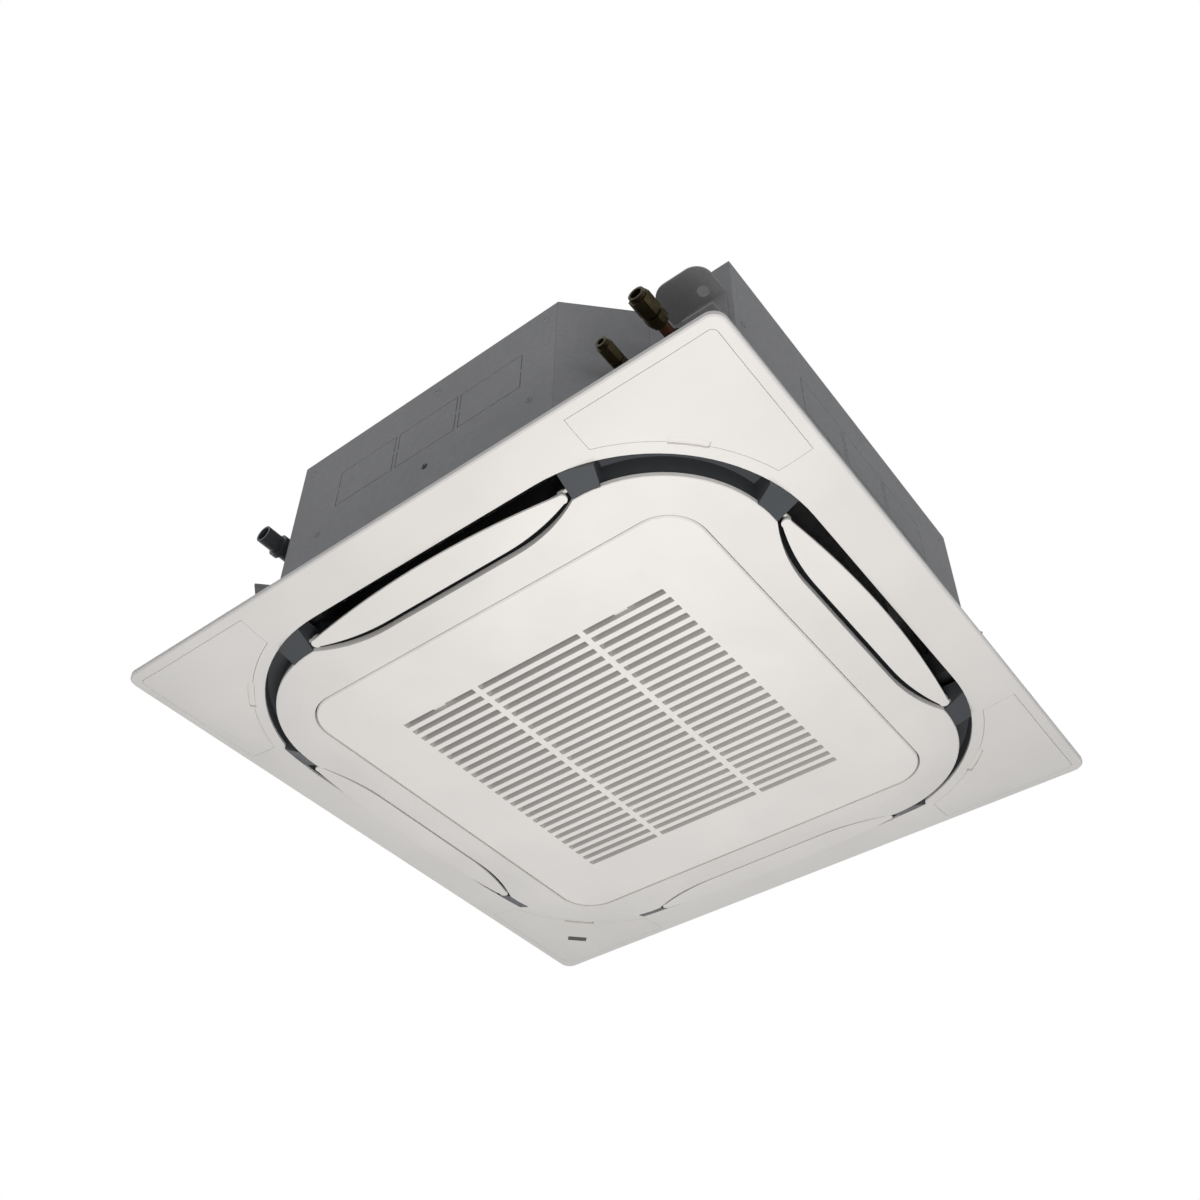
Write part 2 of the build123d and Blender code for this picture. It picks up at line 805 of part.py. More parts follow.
with BuildPart() as panel_screws:
    for turn in QUARTERS:
        with BuildSketch(Plane.XY.offset(head_z).rotated((0, 0, turn))):
            with Locations((screw_at, -screw_at)):
                Circle(head_radius)
        extrude(amount=head_height)
        with BuildSketch(Plane.XY.offset(boss_shoulder).rotated((0, 0, turn))):
            with Locations((screw_at, -screw_at)):
                Circle(screw_radius)
        extrude(amount=screw_tip - boss_shoulder)
finish(panel_screws, "panel_screws")


# ------------------------------------------------------------------ flaps with their motors and bushes
spine_thick = 2.5
spine_half = 196.0
spine_root = 1.8             # how far the flap's spine and lugs start above its room side
spine_over = 1.0             # from the pivot to the spine's back
flap_lug_end = 203.0
bush_pin_end = 213.5
motor_pin_end = 221.0
motor_gap = 0.4
motor_width = 18.6
motor_case = 11.0            # gear case, round the pivot
motor_can = 20.0             # the whole housing, above the gear case
motor_clear = 0.9            # from the housing to the block's walls
flap_motor_top = 40.0
boss_play = 0.3
spine_low = flap_low[1][1] + spine_root
spine_high = pivot_z + spine_over
motor_near = island_half + hollow_wall + motor_clear


def motor_low(depth):
    """Lowest height of a flap motor's housing that reaches this far from its inner side."""
    return block_low(motor_near + depth) + block_face + motor_clear


with BuildPart() as flap:
    with BuildSketch(Plane.YZ.offset(-flap_end)) as slab:
        with BuildLine():
            ThreePointArc(*[(-y, z) for y, z in flap_low])
            ThreePointArc(*[(-y, z + flap_thick) for y, z in flap_low])
            Line((-flap_low[0][0], flap_low[0][1]), (-flap_low[0][0], flap_low[0][1] + flap_thick))
            Line((-flap_low[2][0], flap_low[2][1]), (-flap_low[2][0], flap_low[2][1] + flap_thick))
        make_face()
    extrude(slab.sketch, amount=2 * flap_end)
    with BuildSketch() as lens:
        tip_middle = (flap_tip_inner + flap_tip_outer) / 2
        with BuildLine():
            Line((-flap_flat, -flap_inner), (flap_flat, -flap_inner))
            TangentArc((flap_flat, -flap_inner), (flap_shoulder, -flap_tip_inner), tangent=(1, 0))
            ThreePointArc((flap_shoulder, -flap_tip_inner), (flap_end, -tip_middle),
                          (flap_shoulder, -flap_tip_outer))
            ThreePointArc((flap_shoulder, -flap_tip_outer), (0, -flap_outer), (-flap_shoulder, -flap_tip_outer))
            ThreePointArc((-flap_shoulder, -flap_tip_outer), (-flap_end, -tip_middle),
                          (-flap_shoulder, -flap_tip_inner))
            TangentArc((-flap_flat, -flap_inner), (-flap_shoulder, -flap_tip_inner), tangent=(-1, 0))
        make_face()
    extrude(lens.sketch, amount=ceiling_z, mode=Mode.INTERSECT)
    cuboid((-spine_half, -pivot_y - spine_thick / 2, spine_low),
           (spine_half, -pivot_y + spine_thick / 2, spine_high))
    for start in (-flap_lug_end, spine_half):
        stop = start + flap_lug_end - spine_half
        cuboid((start, -pivot_y - lug_radius, spine_low), (stop, -pivot_y + lug_radius, pivot_z))
        rod_x(start, stop, -pivot_y, pivot_z, lug_radius)
    rod_x(-bush_pin_end, -spine_half, -pivot_y, pivot_z, pivot_radius)
    rod_x(spine_half, motor_pin_end, -pivot_y, pivot_z, pivot_radius)
finish_copies(flap, "flap")

motor_face = block_x + block_wall + motor_gap
with BuildPart() as flap_motor:
    for depth in (motor_case, motor_can):
        cuboid((motor_face, -motor_near - depth, motor_low(depth)),
               (motor_face + motor_width, -motor_near, flap_motor_top))
    rod_x(motor_face, motor_face + motor_width / 2, -pivot_y, pivot_z, bush_radius + boss_play)
    rod_x(block_x + bush_play, motor_face, -pivot_y, pivot_z, bush_radius - bush_play)
    rod_x(block_x, motor_pin_end + 1, -pivot_y, pivot_z, pivot_radius + run_gap, Mode.SUBTRACT)

with BuildPart() as flap_motors:
    for turn in QUARTERS:
        add(flap_motor.part, rotation=(0, 0, turn))
finish(flap_motors, "flap_motors")

bush_end = block_x + block_wall
with BuildPart() as flap_bush:
    rod_x(-bush_end - bush_rim, -bush_end, -pivot_y, pivot_z, bush_flange)
    rod_x(-bush_end, -block_x, -pivot_y, pivot_z, bush_radius - bush_play)
    rod_x(-bush_end - bush_rim - 1, -block_x, -pivot_y, pivot_z, pivot_radius + run_gap, Mode.SUBTRACT)

with BuildPart() as flap_bushes:
    for turn in QUARTERS:
        add(flap_bush.part, rotation=(0, 0, turn))
finish(flap_bushes, "flap_bushes")


# ------------------------------------------------------------------ suction grille
rail_width = 2.0
rail_ends = (300.0, 230.0)
rail_top = 17.0
rail_root = 1.0              # how far the ribs on the grille's back start inside its face
keeper_thick = 2.0
slot_floor = 0.5             # room side of the slotted field
bridge_ends = ((290.0, 280.0), (250.0, 240.0))
barrel_gap = 0.5
barrel_length = 6.5
barrel_radius = 4.5
barrel_reach = 15.0
arm_notch = 12.0
notch_start = 10.0           # from the hinge to the notch that clears its arm
slide_z = latch_z - slide_gap
keeper_z = latch_back_z + slide_gap
rib_root = face_thick - rail_root
slide_reach = latch_half + slide_gap + rail_width
row_lengths = (field_half - rib_x - rib_width / 2, 2 * rib_x - rib_width)
row_centre = (field_half + rib_x + rib_width / 2) / 2

with BuildPart() as suction_grille:
    stack([(grille_half - grille_edge, grille_corner - grille_edge, 0),
           (grille_half, grille_corner, grille_edge),
           (grille_half, grille_corner, grille_height)])
    plate(square(grille_half - grille_wall, grille_corner - grille_wall), face_thick, grille_height + 1,
          Mode.SUBTRACT)
    cuboid((-field_half - field_border, -field_depth - field_border, slot_floor),
           (field_half + field_border, field_depth + field_border, bar_depth))
    with BuildSketch() as slots:
        with GridLocations(1, slot_pitch, 1, slot_count):
            RectangleRounded(row_lengths[1], slot_width, slot_round)
        for side in (-1, 1):
            with Locations((side * row_centre, 0)):
                with GridLocations(1, slot_pitch, 1, slot_count):
                    RectangleRounded(row_lengths[0], slot_width, slot_round)
    extrude(slots.sketch, amount=bar_depth, taper=bar_draft, mode=Mode.SUBTRACT)
    for side in (-1, 1):
        for start in (-arm_width / 2 - barrel_gap - barrel_length, arm_width / 2 + barrel_gap):
            low_x = side * hinge_x + start
            rod_x(low_x, low_x + barrel_length, hinge_y, hinge_z, barrel_radius)
            cuboid((low_x, hinge_y - barrel_radius, rib_root),
                   (low_x + barrel_length, hinge_y + barrel_radius, hinge_z))
        rod_x(side * hinge_x - barrel_reach, side * hinge_x + barrel_reach, hinge_y, hinge_z, pin_radius,
              Mode.SUBTRACT)
        cuboid((side * hinge_x - arm_notch / 2, hinge_y + notch_start, face_thick),
               (side * hinge_x + arm_notch / 2, grille_half + 1, grille_height + 1), Mode.SUBTRACT)
        for edge in (-1, 1):
            low_x = side * latch_x + edge * (latch_half + slide_gap)
            cuboid((low_x, -rail_ends[0], rib_root), (low_x + edge * rail_width, -rail_ends[1], rail_top))
        left = side * latch_x - slide_reach
        right = side * latch_x + slide_reach
        for near, far in bridge_ends:
            cuboid((left, -near, keeper_z), (right, -far, keeper_z + keeper_thick))
            cuboid((left, -near, rib_root), (right, -far, slide_z))
        cuboid((side * latch_x - catch_half, -grille_half - 1, latch_z - catch_gap),
               (side * latch_x + catch_half, -grille_half + grille_wall + 1, grille_height + 1), Mode.SUBTRACT)
finish(suction_grille, "suction_grille")

arm_top = panel_top
arm_foot = 2.5
with BuildPart() as grille_hinge_arms:
    for side in (-1, 1):
        low_x = side * hinge_x - arm_width / 2
        rod_x(low_x, low_x + arm_width, hinge_y, hinge_z, eye_radius)
        cuboid((low_x, hinge_y - arm_thick / 2, hinge_z), (low_x + arm_width, hinge_y + arm_thick / 2, arm_top))
        cuboid((low_x, hinge_y, arm_top - arm_foot), (low_x + arm_width, opening_half, arm_top))
        rod_x(low_x, low_x + arm_width, hinge_y, hinge_z, pin_radius + run_gap, Mode.SUBTRACT)
finish(grille_hinge_arms, "grille_hinge_arms")

pin_reach = 12.0
with BuildPart() as grille_hinge_pins:
    for side in (-1, 1):
        rod_x(side * hinge_x - pin_reach, side * hinge_x + pin_reach, hinge_y, hinge_z, pin_radius)
finish(grille_hinge_pins, "grille_hinge_pins")


# ------------------------------------------------------------------ latches and filter
tab_y = (208.0, 205.0)
tab_half = 10.0
tab_low = 1.2
latch_tip = 307.5
latch_back = 197.5

for number, side in enumerate((-1, 1), start=1):
    with BuildPart() as latch:
        middle = side * latch_x
        cuboid((middle - latch_half, -latch_tip, latch_z), (middle + latch_half, -latch_back, latch_back_z))
        cuboid((middle - tab_half, -tab_y[0], tab_low), (middle + tab_half, -tab_y[1], latch_z))
    finish(latch, "latch_" + str(number))

filter_border = 6.0
filter_rib = 3.0
filter_top = bar_depth + filter_thick
filter_middle = (filter_start + filter_end) / 2
with BuildPart() as air_filter_frame:
    cuboid((-filter_half, filter_start, bar_depth), (filter_half, filter_end, filter_top))
    cuboid((-filter_half + filter_border, filter_start + filter_border, bar_depth),
           (filter_half - filter_border, filter_end - filter_border, filter_top), Mode.SUBTRACT)
    for side in (-1, 1):
        cuboid((side * rib_x - filter_rib / 2, filter_start, bar_depth),
               (side * rib_x + filter_rib / 2, filter_end, filter_top))
        middle = filter_middle + side * slot_pitch * 2
        cuboid((-filter_half, middle - filter_rib / 2, bar_depth),
               (filter_half, middle + filter_rib / 2, filter_top))
finish(air_filter_frame, "air_filter_frame")

with BuildPart() as filter_net:
    cuboid((-filter_half, filter_start, filter_top), (filter_half, filter_end, filter_top + net_thick))
finish(filter_net, "filter_net")


# ------------------------------------------------------------------ body casing
body_plan = casing_face(0)
inside_plan = casing_face(sheet)
liner_plan = casing_face(sheet + liner_thick)
gas_grommet = gas_radius + 5.0
liquid_grommet = liquid_radius + 3.7
cable_grommet = cable_radius + 5.0
socket_gap = 0.3
knock_middles = [knock_start + knock_width / 2 + k * (knock_width + knock_gap) for k in range(3)]
liner_top = coil_top + liner_thick
liner_hole = mount_circle + mount_radius + 8.0
pipe_holes = ((gas_x, gas_z, gas_grommet), (liquid_x, liquid_z, liquid_grommet),
              (cable_x, cable_z, cable_grommet), (-drain_x, drain_z, drain_radius + socket_gap))


def pass_holes():
    """Holes through the walls for the pipes, the cable and the drain socket."""
    for x, z, radius in pipe_holes:
        rod_out(pipe_wall_y - 30, body_half, x, z, radius, Mode.SUBTRACT)


seam_gap = 0.3               # between two folded sheets of the casing
seam_inset = 1.0             # from a fold to the seam beside it
seam_depth = 20.0
fold = body_half - corner_cut - seam_inset
pipe_fold_x = pipe_corner_x + body_half - pipe_wall_y + seam_inset


def seam_x(x, side):
    """A seam at a place along X, in the wall that faces -Y (side -1) or +Y (side 1)."""
    reach = sorted((side * (body_half - seam_depth), side * (body_half + 1)))
    cuboid((x, reach[0], body_bottom - 1), (x + seam_gap, reach[1], body_top), Mode.SUBTRACT)


def seam_y(y, side):
    """A seam at a place along Y, in the wall that faces -X (side -1) or +X (side 1)."""
    reach = sorted((side * (body_half - seam_depth), side * (body_half + 1)))
    cuboid((reach[0], y, body_bottom - 1), (reach[1], y + seam_gap, body_top), Mode.SUBTRACT)


with BuildPart() as casing_shell:
    wall(body_plan, inside_plan, body_bottom, top_sheet_z)
    wall(body_plan, casing_face(flange_width), body_bottom, pan_bottom)
    for middle in knock_middles:
        cuboid((middle - knock_width / 2, -body_half - 1, knock_z[0]),
               (middle + knock_width / 2, -body_half + sheet + 1, knock_z[1]), Mode.SUBTRACT)
        cuboid((body_half - sheet - 1, middle - knock_width / 2, knock_z[0]),
               (body_half + 1, middle + knock_width / 2, knock_z[1]), Mode.SUBTRACT)
    pass_holes()
    for x, side in ((-fold - seam_gap, -1), (pipe_corner_x - seam_inset, -1),
                    (-fold - seam_gap, 1), (fold, 1)):
        seam_x(x, side)
    for y, side in ((-pipe_wall_y + flange_width + seam_inset, 1), (fold, 1), (-fold - seam_gap, -1), (fold, -1)):
        seam_y(y, side)
    cuboid((pipe_fold_x, -pipe_wall_y - seam_depth, body_bottom - 1),
           (pipe_fold_x + seam_gap, -pipe_wall_y + seam_depth, body_top), Mode.SUBTRACT)
finish(casing_shell, "casing_shell")

swage_radius = (150.0, 162.0)
swage_depth = 2.0
with BuildPart() as casing_top:
    plate(body_plan, top_sheet_z, body_top)
    disc((0, 0), swage_radius[1] + sheet, top_sheet_z - swage_depth, top_sheet_z)
    disc((0, 0), swage_radius[0] - sheet, top_sheet_z - swage_depth, top_sheet_z, Mode.SUBTRACT)
    with BuildSketch(Plane.XY.offset(body_top)) as swage:
        Circle(swage_radius[1])
        Circle(swage_radius[0], mode=Mode.SUBTRACT)
    extrude(swage.sketch, amount=-swage_depth, mode=Mode.SUBTRACT)
finish(casing_top, "casing_top")

with BuildPart() as side_plates:
    middle_z = (knock_z[0] + knock_z[1]) / 2
    height = knock_z[1] - knock_z[0]
    for middle in knock_middles:
        cuboid((middle - knock_width / 2 + knock_slit, -body_half, knock_z[0] + knock_slit),
               (middle + knock_width / 2 - knock_slit, -body_half + sheet, knock_z[1] - knock_slit))
        cuboid((middle - knock_width / 2, -body_half, middle_z - knock_tab / 2),
               (middle + knock_width / 2, -body_half + sheet, middle_z + knock_tab / 2))
        cuboid((middle - knock_tab / 2, -body_half, knock_z[0]),
               (middle + knock_tab / 2, -body_half + sheet, knock_z[1]))

with BuildPart() as knockout_plates:
    add(side_plates.part)
    add(side_plates.part, rotation=(0, 0, 90))
finish(knockout_plates, "knockout_plates")

skirt_gap = 0.3              # from the liner's skirt to the drain pan
with BuildPart() as liner_skirts:
    for turn in QUARTERS:
        with BuildSketch(Plane.XY.offset(pan_bottom).rotated((0, 0, turn))):
            with Locations((0, -(body_half - sheet - liner_thick / 2))):
                Rectangle(2 * (outlet_half - skirt_gap), liner_thick)
        extrude(amount=pan_top - pan_bottom)

with BuildPart() as insulation_liner:
    wall(inside_plan, liner_plan, pan_top, coil_top)
    plate(inside_plan, coil_top, liner_top)
    add(liner_skirts.part)
    disc((0, 0), liner_hole, coil_top, liner_top, Mode.SUBTRACT)
    pass_holes()
finish(insulation_liner, "insulation_liner")


# ------------------------------------------------------------------ drain pan
pan_rim_half = 272.0
pan_rim_corner = 92.0
channel_half = 7.0
duct_round = 10.0
duct_far = body_half + 2 * duct_round    # the ducts are open towards the liner
hose_room = 3.0
hose_turn_y = 346.0

with BuildPart() as drain_pan:
    plate(inside_plan, pan_bottom, pan_top)
    disc((0, 0), pan_hole, pan_bottom, pan_top, Mode.SUBTRACT)
    for turn in QUARTERS:
        with BuildSketch(Plane.XY.offset(pan_bottom).rotated((0, 0, turn))):
            with Locations((0, -(outlet_y[0] + duct_far) / 2)):
                RectangleRounded(2 * outlet_half, duct_far - outlet_y[0], duct_round)
        extrude(amount=pan_top - pan_bottom, mode=Mode.SUBTRACT)
    with BuildSketch(Plane.XY.offset(trough_floor)) as trough:
        add(square(coil_half + trough_gap, coil_corner + trough_gap))
        add(square(pan_rim_half, pan_rim_corner), mode=Mode.SUBTRACT)
        add(casing_face(2 * liner_thick), mode=Mode.INTERSECT)
    extrude(trough.sketch, amount=pan_top - trough_floor, mode=Mode.SUBTRACT)
    disc((-pump_at, -pump_at), sump_radius, sump_floor, pan_top, Mode.SUBTRACT)
    disc(float_at, float_pocket, float_floor, pan_top, Mode.SUBTRACT)
    with BuildSketch(Plane.XY.offset(float_floor)) as channel:
        with BuildLine():
            Line(float_at, (-pump_at, -pump_at))
        trace(line_width=2 * channel_half)
    extrude(channel.sketch, amount=pan_top - float_floor, mode=Mode.SUBTRACT)
    relief = hose_radius + hose_room
    cuboid((-drain_x - relief, -hose_turn_y - relief, pump_outlet_z - relief),
           (-drain_x + relief, -pump_at, pan_top), Mode.SUBTRACT)
finish(drain_pan, "drain_pan")


# ------------------------------------------------------------------ heat exchanger
far = body_half + 10
plate_grow = 2.0
row_heights = [bend_first + bend_pitch * row for row in range(bend_rows)]
coil_middle = coil_half - coil_thick / 4
coil_inner = coil_half - coil_thick
stub_heights = (row_heights[1] - 20, row_heights[3] - 20, row_heights[4] + 20)

with BuildPart() as heat_exchanger_fins:
    wall(square(coil_half, coil_corner), square(coil_inner, coil_corner - coil_thick), trough_floor, coil_top)
    cuboid((coil_end, -far, 0), (far, -coil_end, body_top), Mode.SUBTRACT)
finish(heat_exchanger_fins, "heat_exchanger_fins")

with BuildPart() as coil_end_plates:
    cuboid((coil_end, -coil_half - plate_grow, trough_floor),
           (coil_end + end_plate, -coil_inner + plate_grow, coil_top))
    cuboid((coil_inner - plate_grow, -coil_end - end_plate, trough_floor),
           (coil_half + plate_grow, -coil_end, coil_top))
finish(coil_end_plates, "coil_end_plates")

with BuildPart() as coil_return_bends:
    face = coil_end + end_plate
    for height in row_heights:
        with BuildSketch(Plane.YZ.offset(face)) as on_x:
            with Locations((-coil_middle, height + bend_radius)):
                Circle(coil_tube_radius)
        revolve(on_x.sketch, Axis((face, -coil_middle, height), (0, 1, 0)), 180)
        with BuildSketch(Plane.XZ.offset(face)) as on_y:
            with Locations((coil_middle, height + bend_radius)):
                Circle(coil_tube_radius)
        revolve(on_y.sketch, Axis((coil_middle, -face, height), (1, 0, 0)), 180)
finish(coil_return_bends, "coil_return_bends")


# ------------------------------------------------------------------ pipes and fittings
gas_bend = 22.0
liquid_bend = 14.0
header_bottom = 120.0
header_top = 312.0
thread_gap = 4.0
union_socket = 6.0           # depth of a union's socket over its pipe
union_wall = 3.0
union_lip = 2.0              # how much narrower than the pipe its bore is
union_collar = 2.0
union_hexagon = 11.0
hexagon_over = 2.5           # from the thread to the hexagon's flats
cone_base = 18.0             # distances back from the fittings' tip
cone_tip = 14.0
nut_back = 32.0
nut_front = 6.0
nut_neck = 3.5
seat_gap = 1.0
gas_end = fitting_tip_y - 48.0
liquid_end = fitting_tip_y - 46.0


def fitting(x, z, pipe, thread, end):
    """Flare union: a socket on the pipe, a hexagon, a thread and a cone."""
    start = end - union_socket
    shoulder = end + union_collar
    bore = pipe - union_lip
    cone = fitting_tip_y - cone_base
    tip = fitting_tip_y - cone_tip
    turned(x, z, [(start, pipe), (start, pipe + union_wall), (end, pipe + union_wall), (end, thread + 1),
                  (shoulder, thread + 1), (shoulder, thread), (cone, thread), (tip, thread - thread_gap),
                  (tip, bore), (end, bore), (end, pipe)])
    hexagon(end + 1, end + 1 + union_hexagon, x, z, thread + hexagon_over)
    rod_out(end, tip + 1, x, z, bore, Mode.SUBTRACT)


def hexagon(start, stop, x, z, flat):
    """A hexagonal bar along -Y."""
    with BuildSketch(Plane.XZ.offset(start)) as six:
        with Locations((x, z)):
            RegularPolygon(flat, 6, major_radius=False)
    extrude(six.sketch, amount=stop - start)


def flare_nut(x, z, pipe, thread):
    """Nut with a coned seat and a neck that fits over the pipe."""
    back = fitting_tip_y - nut_back
    hexagon(back, fitting_tip_y - nut_front, x, z, thread + hexagon_over)
    rod_out(fitting_tip_y - nut_front - 1, fitting_tip_y, x, z, pipe + nut_neck)
    neck = pipe + bore_gap
    seat = fitting_tip_y - cone_base + seat_gap
    throat = fitting_tip_y - cone_tip + seat_gap + 2
    turned(x, z, [(back - 1, 0), (back - 1, thread), (seat, thread), (throat, neck),
                  (fitting_tip_y + 1, neck), (fitting_tip_y + 1, 0)], Mode.SUBTRACT)


with BuildPart() as gas_pipe:
    disc((gas_header[0], -gas_header[1]), gas_header_radius, header_bottom, header_top)
    for height in stub_heights:
        rod_x(coil_end + end_plate, gas_header[0], -gas_header[1], height, coil_tube_radius)
    tube([(gas_header[0], -gas_header[1], gas_z), (gas_x, -gas_header[1], gas_z), (gas_x, -gas_end, gas_z)],
         gas_radius, gas_bend)
finish(gas_pipe, "gas_pipe")

with BuildPart() as liquid_pipe:
    disc((liquid_header[0], -liquid_header[1]), liquid_header_radius, header_bottom, header_top)
    for height in stub_heights:
        rod_out(coil_end + end_plate, liquid_header[1], liquid_header[0], height, coil_tube_radius)
    tube([(liquid_header[0], -liquid_header[1], liquid_z), (liquid_header[0], -liquid_header[1] - 32, liquid_z),
          (liquid_x, -liquid_header[1] - 60, liquid_z), (liquid_x, -liquid_end, liquid_z)],
         liquid_radius, liquid_bend)
finish(liquid_pipe, "liquid_pipe")

gas_thread = gas_radius + 3.0
liquid_thread = liquid_radius + 2.5
with BuildPart() as flare_unions:
    fitting(gas_x, gas_z, gas_radius, gas_thread, gas_end)
    fitting(liquid_x, liquid_z, liquid_radius, liquid_thread, liquid_end)
finish(flare_unions, "flare_unions")

with BuildPart() as flare_nuts:
    flare_nut(gas_x, gas_z, gas_radius, gas_thread)
    flare_nut(liquid_x, liquid_z, liquid_radius, liquid_thread)
finish(flare_nuts, "flare_nuts")

with BuildPart() as wall_grommets:
    for x, z, outer, inner, inward, outward in (
            (gas_x, gas_z, gas_grommet, gas_radius, 20, 8),
            (liquid_x, liquid_z, liquid_grommet, liquid_radius, 18, 28),
            (cable_x, cable_z, cable_grommet, cable_radius, 16, 6)):
        rod_out(pipe_wall_y - inward, pipe_wall_y + outward, x, z, outer)
        rod_out(pipe_wall_y - inward, pipe_wall_y + outward, x, z, inner, Mode.SUBTRACT)
finish(wall_grommets, "wall_grommets")


# ------------------------------------------------------------------ fan and motor
plate_ear = 15.0
ear_width = 30.0
mount_angles = [90 + 360 / mount_count * k for k in range(mount_count)]
shroud_wide = fan_radius - neck_radius
shroud_high = shroud_z - neck_top

with BuildPart() as fan_motor:
    disc((0, 0), motor_radius, motor_bottom, motor_top)
    disc((0, 0), motor_radius, motor_top, motor_top + motor_plate)
    with BuildSketch(Plane.XY.offset(motor_top)) as ears:
        for angle in mount_angles:
            with Locations(Location((0, 0, 0), (0, 0, angle))):
                with Locations((mount_circle / 2, 0)):
                    Rectangle(mount_circle, ear_width)
                with Locations((mount_circle, 0)):
                    Circle(plate_ear)
    extrude(ears.sketch, amount=motor_plate)
    disc((0, 0), shaft_radius + run_gap, motor_bottom - 1, shaft_top + 2, Mode.SUBTRACT)
finish(fan_motor, "fan_motor")

with BuildPart() as motor_mounts:
    with PolarLocations(mount_circle, mount_count, start_angle=90):
        with Locations((0, 0, (motor_top + motor_plate + top_sheet_z) / 2)):
            Cylinder(mount_radius, top_sheet_z - motor_top - motor_plate)
finish(motor_mounts, "motor_mounts")

with BuildPart() as motor_shaft:
    disc((0, 0), shaft_radius, shaft_bottom, shaft_top)
finish(motor_shaft, "motor_shaft")

with BuildPart() as under_shroud:
    with BuildSketch(Plane.XZ) as below:
        half = fan_sheet / 2
        centre = (fan_radius, neck_top)
        with BuildLine():
            EllipticalCenterArc(centre, shroud_wide - half, shroud_high + half, 90, arc_size=90)
            Polyline((fan_radius, shroud_z + half), (fan_radius + 10, shroud_z + half),
                     (fan_radius + 10, neck_z), (neck_radius + half, neck_z), (neck_radius + half, neck_top))
        make_face()
    revolve(below.sketch, axis=Axis.Z)

with BuildPart() as blades:
    with BuildSketch(Plane.XY.offset(neck_z)) as blade_plan:
        middle = math.radians(blade_sweep * 0.62)
        tip = math.radians(blade_sweep)
        mean = (blade_inner + fan_radius) / 2
        for k in range(blade_count):
            turn = 2 * math.pi * k / blade_count
            points = []
            for radius, angle in ((blade_inner, 0), (mean, middle), (fan_radius - 2, tip)):
                points.append((radius * math.cos(turn - angle), radius * math.sin(turn - angle)))
            with BuildLine():
                ThreePointArc(*points)
            trace(line_width=blade_thick)
    extrude(blade_plan.sketch, amount=fan_top - fan_sheet / 2 - neck_z)
    add(under_shroud.part, mode=Mode.SUBTRACT)

with BuildPart() as turbo_fan:
    with BuildSketch(Plane.XZ) as shroud:
        centre = (fan_radius, neck_top)
        with BuildLine():
            EllipticalCenterArc(centre, shroud_wide, shroud_high, 90, arc_size=90)
            EllipticalCenterArc(centre, shroud_wide - fan_sheet, shroud_high + fan_sheet, 90, arc_size=90)
            Line((fan_radius, shroud_z), (fan_radius, shroud_z + fan_sheet))
            Polyline((neck_radius, neck_top), (neck_radius, neck_z), (neck_radius + fan_sheet, neck_z),
                     (neck_radius + fan_sheet, neck_top))
        make_face()
    revolve(shroud.sketch, axis=Axis.Z)
    add(blades.part)
    spun((0, 0), [(shaft_radius, hub_bottom), (hub_radius, hub_bottom), (hub_radius, cup_floor),
                  (cup_radius, cup_floor), (cup_radius, fan_top - fan_sheet), (fan_radius, fan_top - fan_sheet),
                  (fan_radius, fan_top), (cup_radius - fan_sheet, fan_top),
                  (cup_radius - fan_sheet, cup_floor + fan_sheet), (hub_radius, cup_floor + fan_sheet),
                  (hub_radius, hub_bottom + hub_height), (shaft_radius, hub_bottom + hub_height)])
finish(turbo_fan, "turbo_fan")

with BuildPart() as fan_nut:
    with BuildSketch(Plane.XY.offset(hub_bottom - nut_height)) as six:
        RegularPolygon(1.7 * shaft_radius, 6)
        Circle(shaft_radius, mode=Mode.SUBTRACT)
    extrude(six.sketch, amount=nut_height)
finish(fan_nut, "fan_nut")

bell_neck = neck_radius - bell_gap
bell_low = pan_bottom - bell_plate
with BuildPart() as bell_mouth:
    with BuildSketch(Plane.XZ) as flare:
        wide = bell_mouth_radius - bell_neck
        high = bell_bend_top - pan_bottom
        centre = (bell_mouth_radius, bell_bend_top)
        with BuildLine():
            EllipticalCenterArc(centre, wide, high, 180, arc_size=90)
            EllipticalCenterArc(centre, wide + bell_plate, high + bell_plate, 180, arc_size=90)
            Polyline((bell_mouth_radius, pan_bottom), (bell_mouth_radius + 2, pan_bottom),
                     (bell_mouth_radius + 2, bell_low), (bell_mouth_radius, bell_low))
            Polyline((bell_neck, bell_bend_top), (bell_neck, bell_top), (bell_neck - bell_plate, bell_top),
                     (bell_neck - bell_plate, bell_bend_top))
        make_face()
    revolve(flare.sketch, axis=Axis.Z)
    with BuildSketch(Plane.XY.offset(bell_low)) as flat:
        add(square(bell_half, bell_corner))
        Circle(bell_mouth_radius + 1, mode=Mode.SUBTRACT)
    extrude(flat.sketch, amount=bell_plate)
finish(bell_mouth, "bell_mouth")


# ------------------------------------------------------------------ electrical box and sensor
box_low = (-170.0, -300.0, 28.0)
box_high = (170.0, -232.0, bell_low)
box_sheet = 1.2
board_z = 50.0
board_thick = 1.6

with BuildPart() as control_box:
    cuboid(box_low, box_high)
    cuboid((box_low[0] + box_sheet, box_low[1] + box_sheet, box_low[2] - 1),
           (box_high[0] - box_sheet, box_high[1] - box_sheet, box_high[2] - box_sheet), Mode.SUBTRACT)
finish(control_box, "control_box")

with BuildPart() as control_box_lid:
    cuboid((box_low[0], box_low[1], box_low[2] - box_sheet), (box_high[0], box_high[1], box_low[2]))
finish(control_box_lid, "control_box_lid")

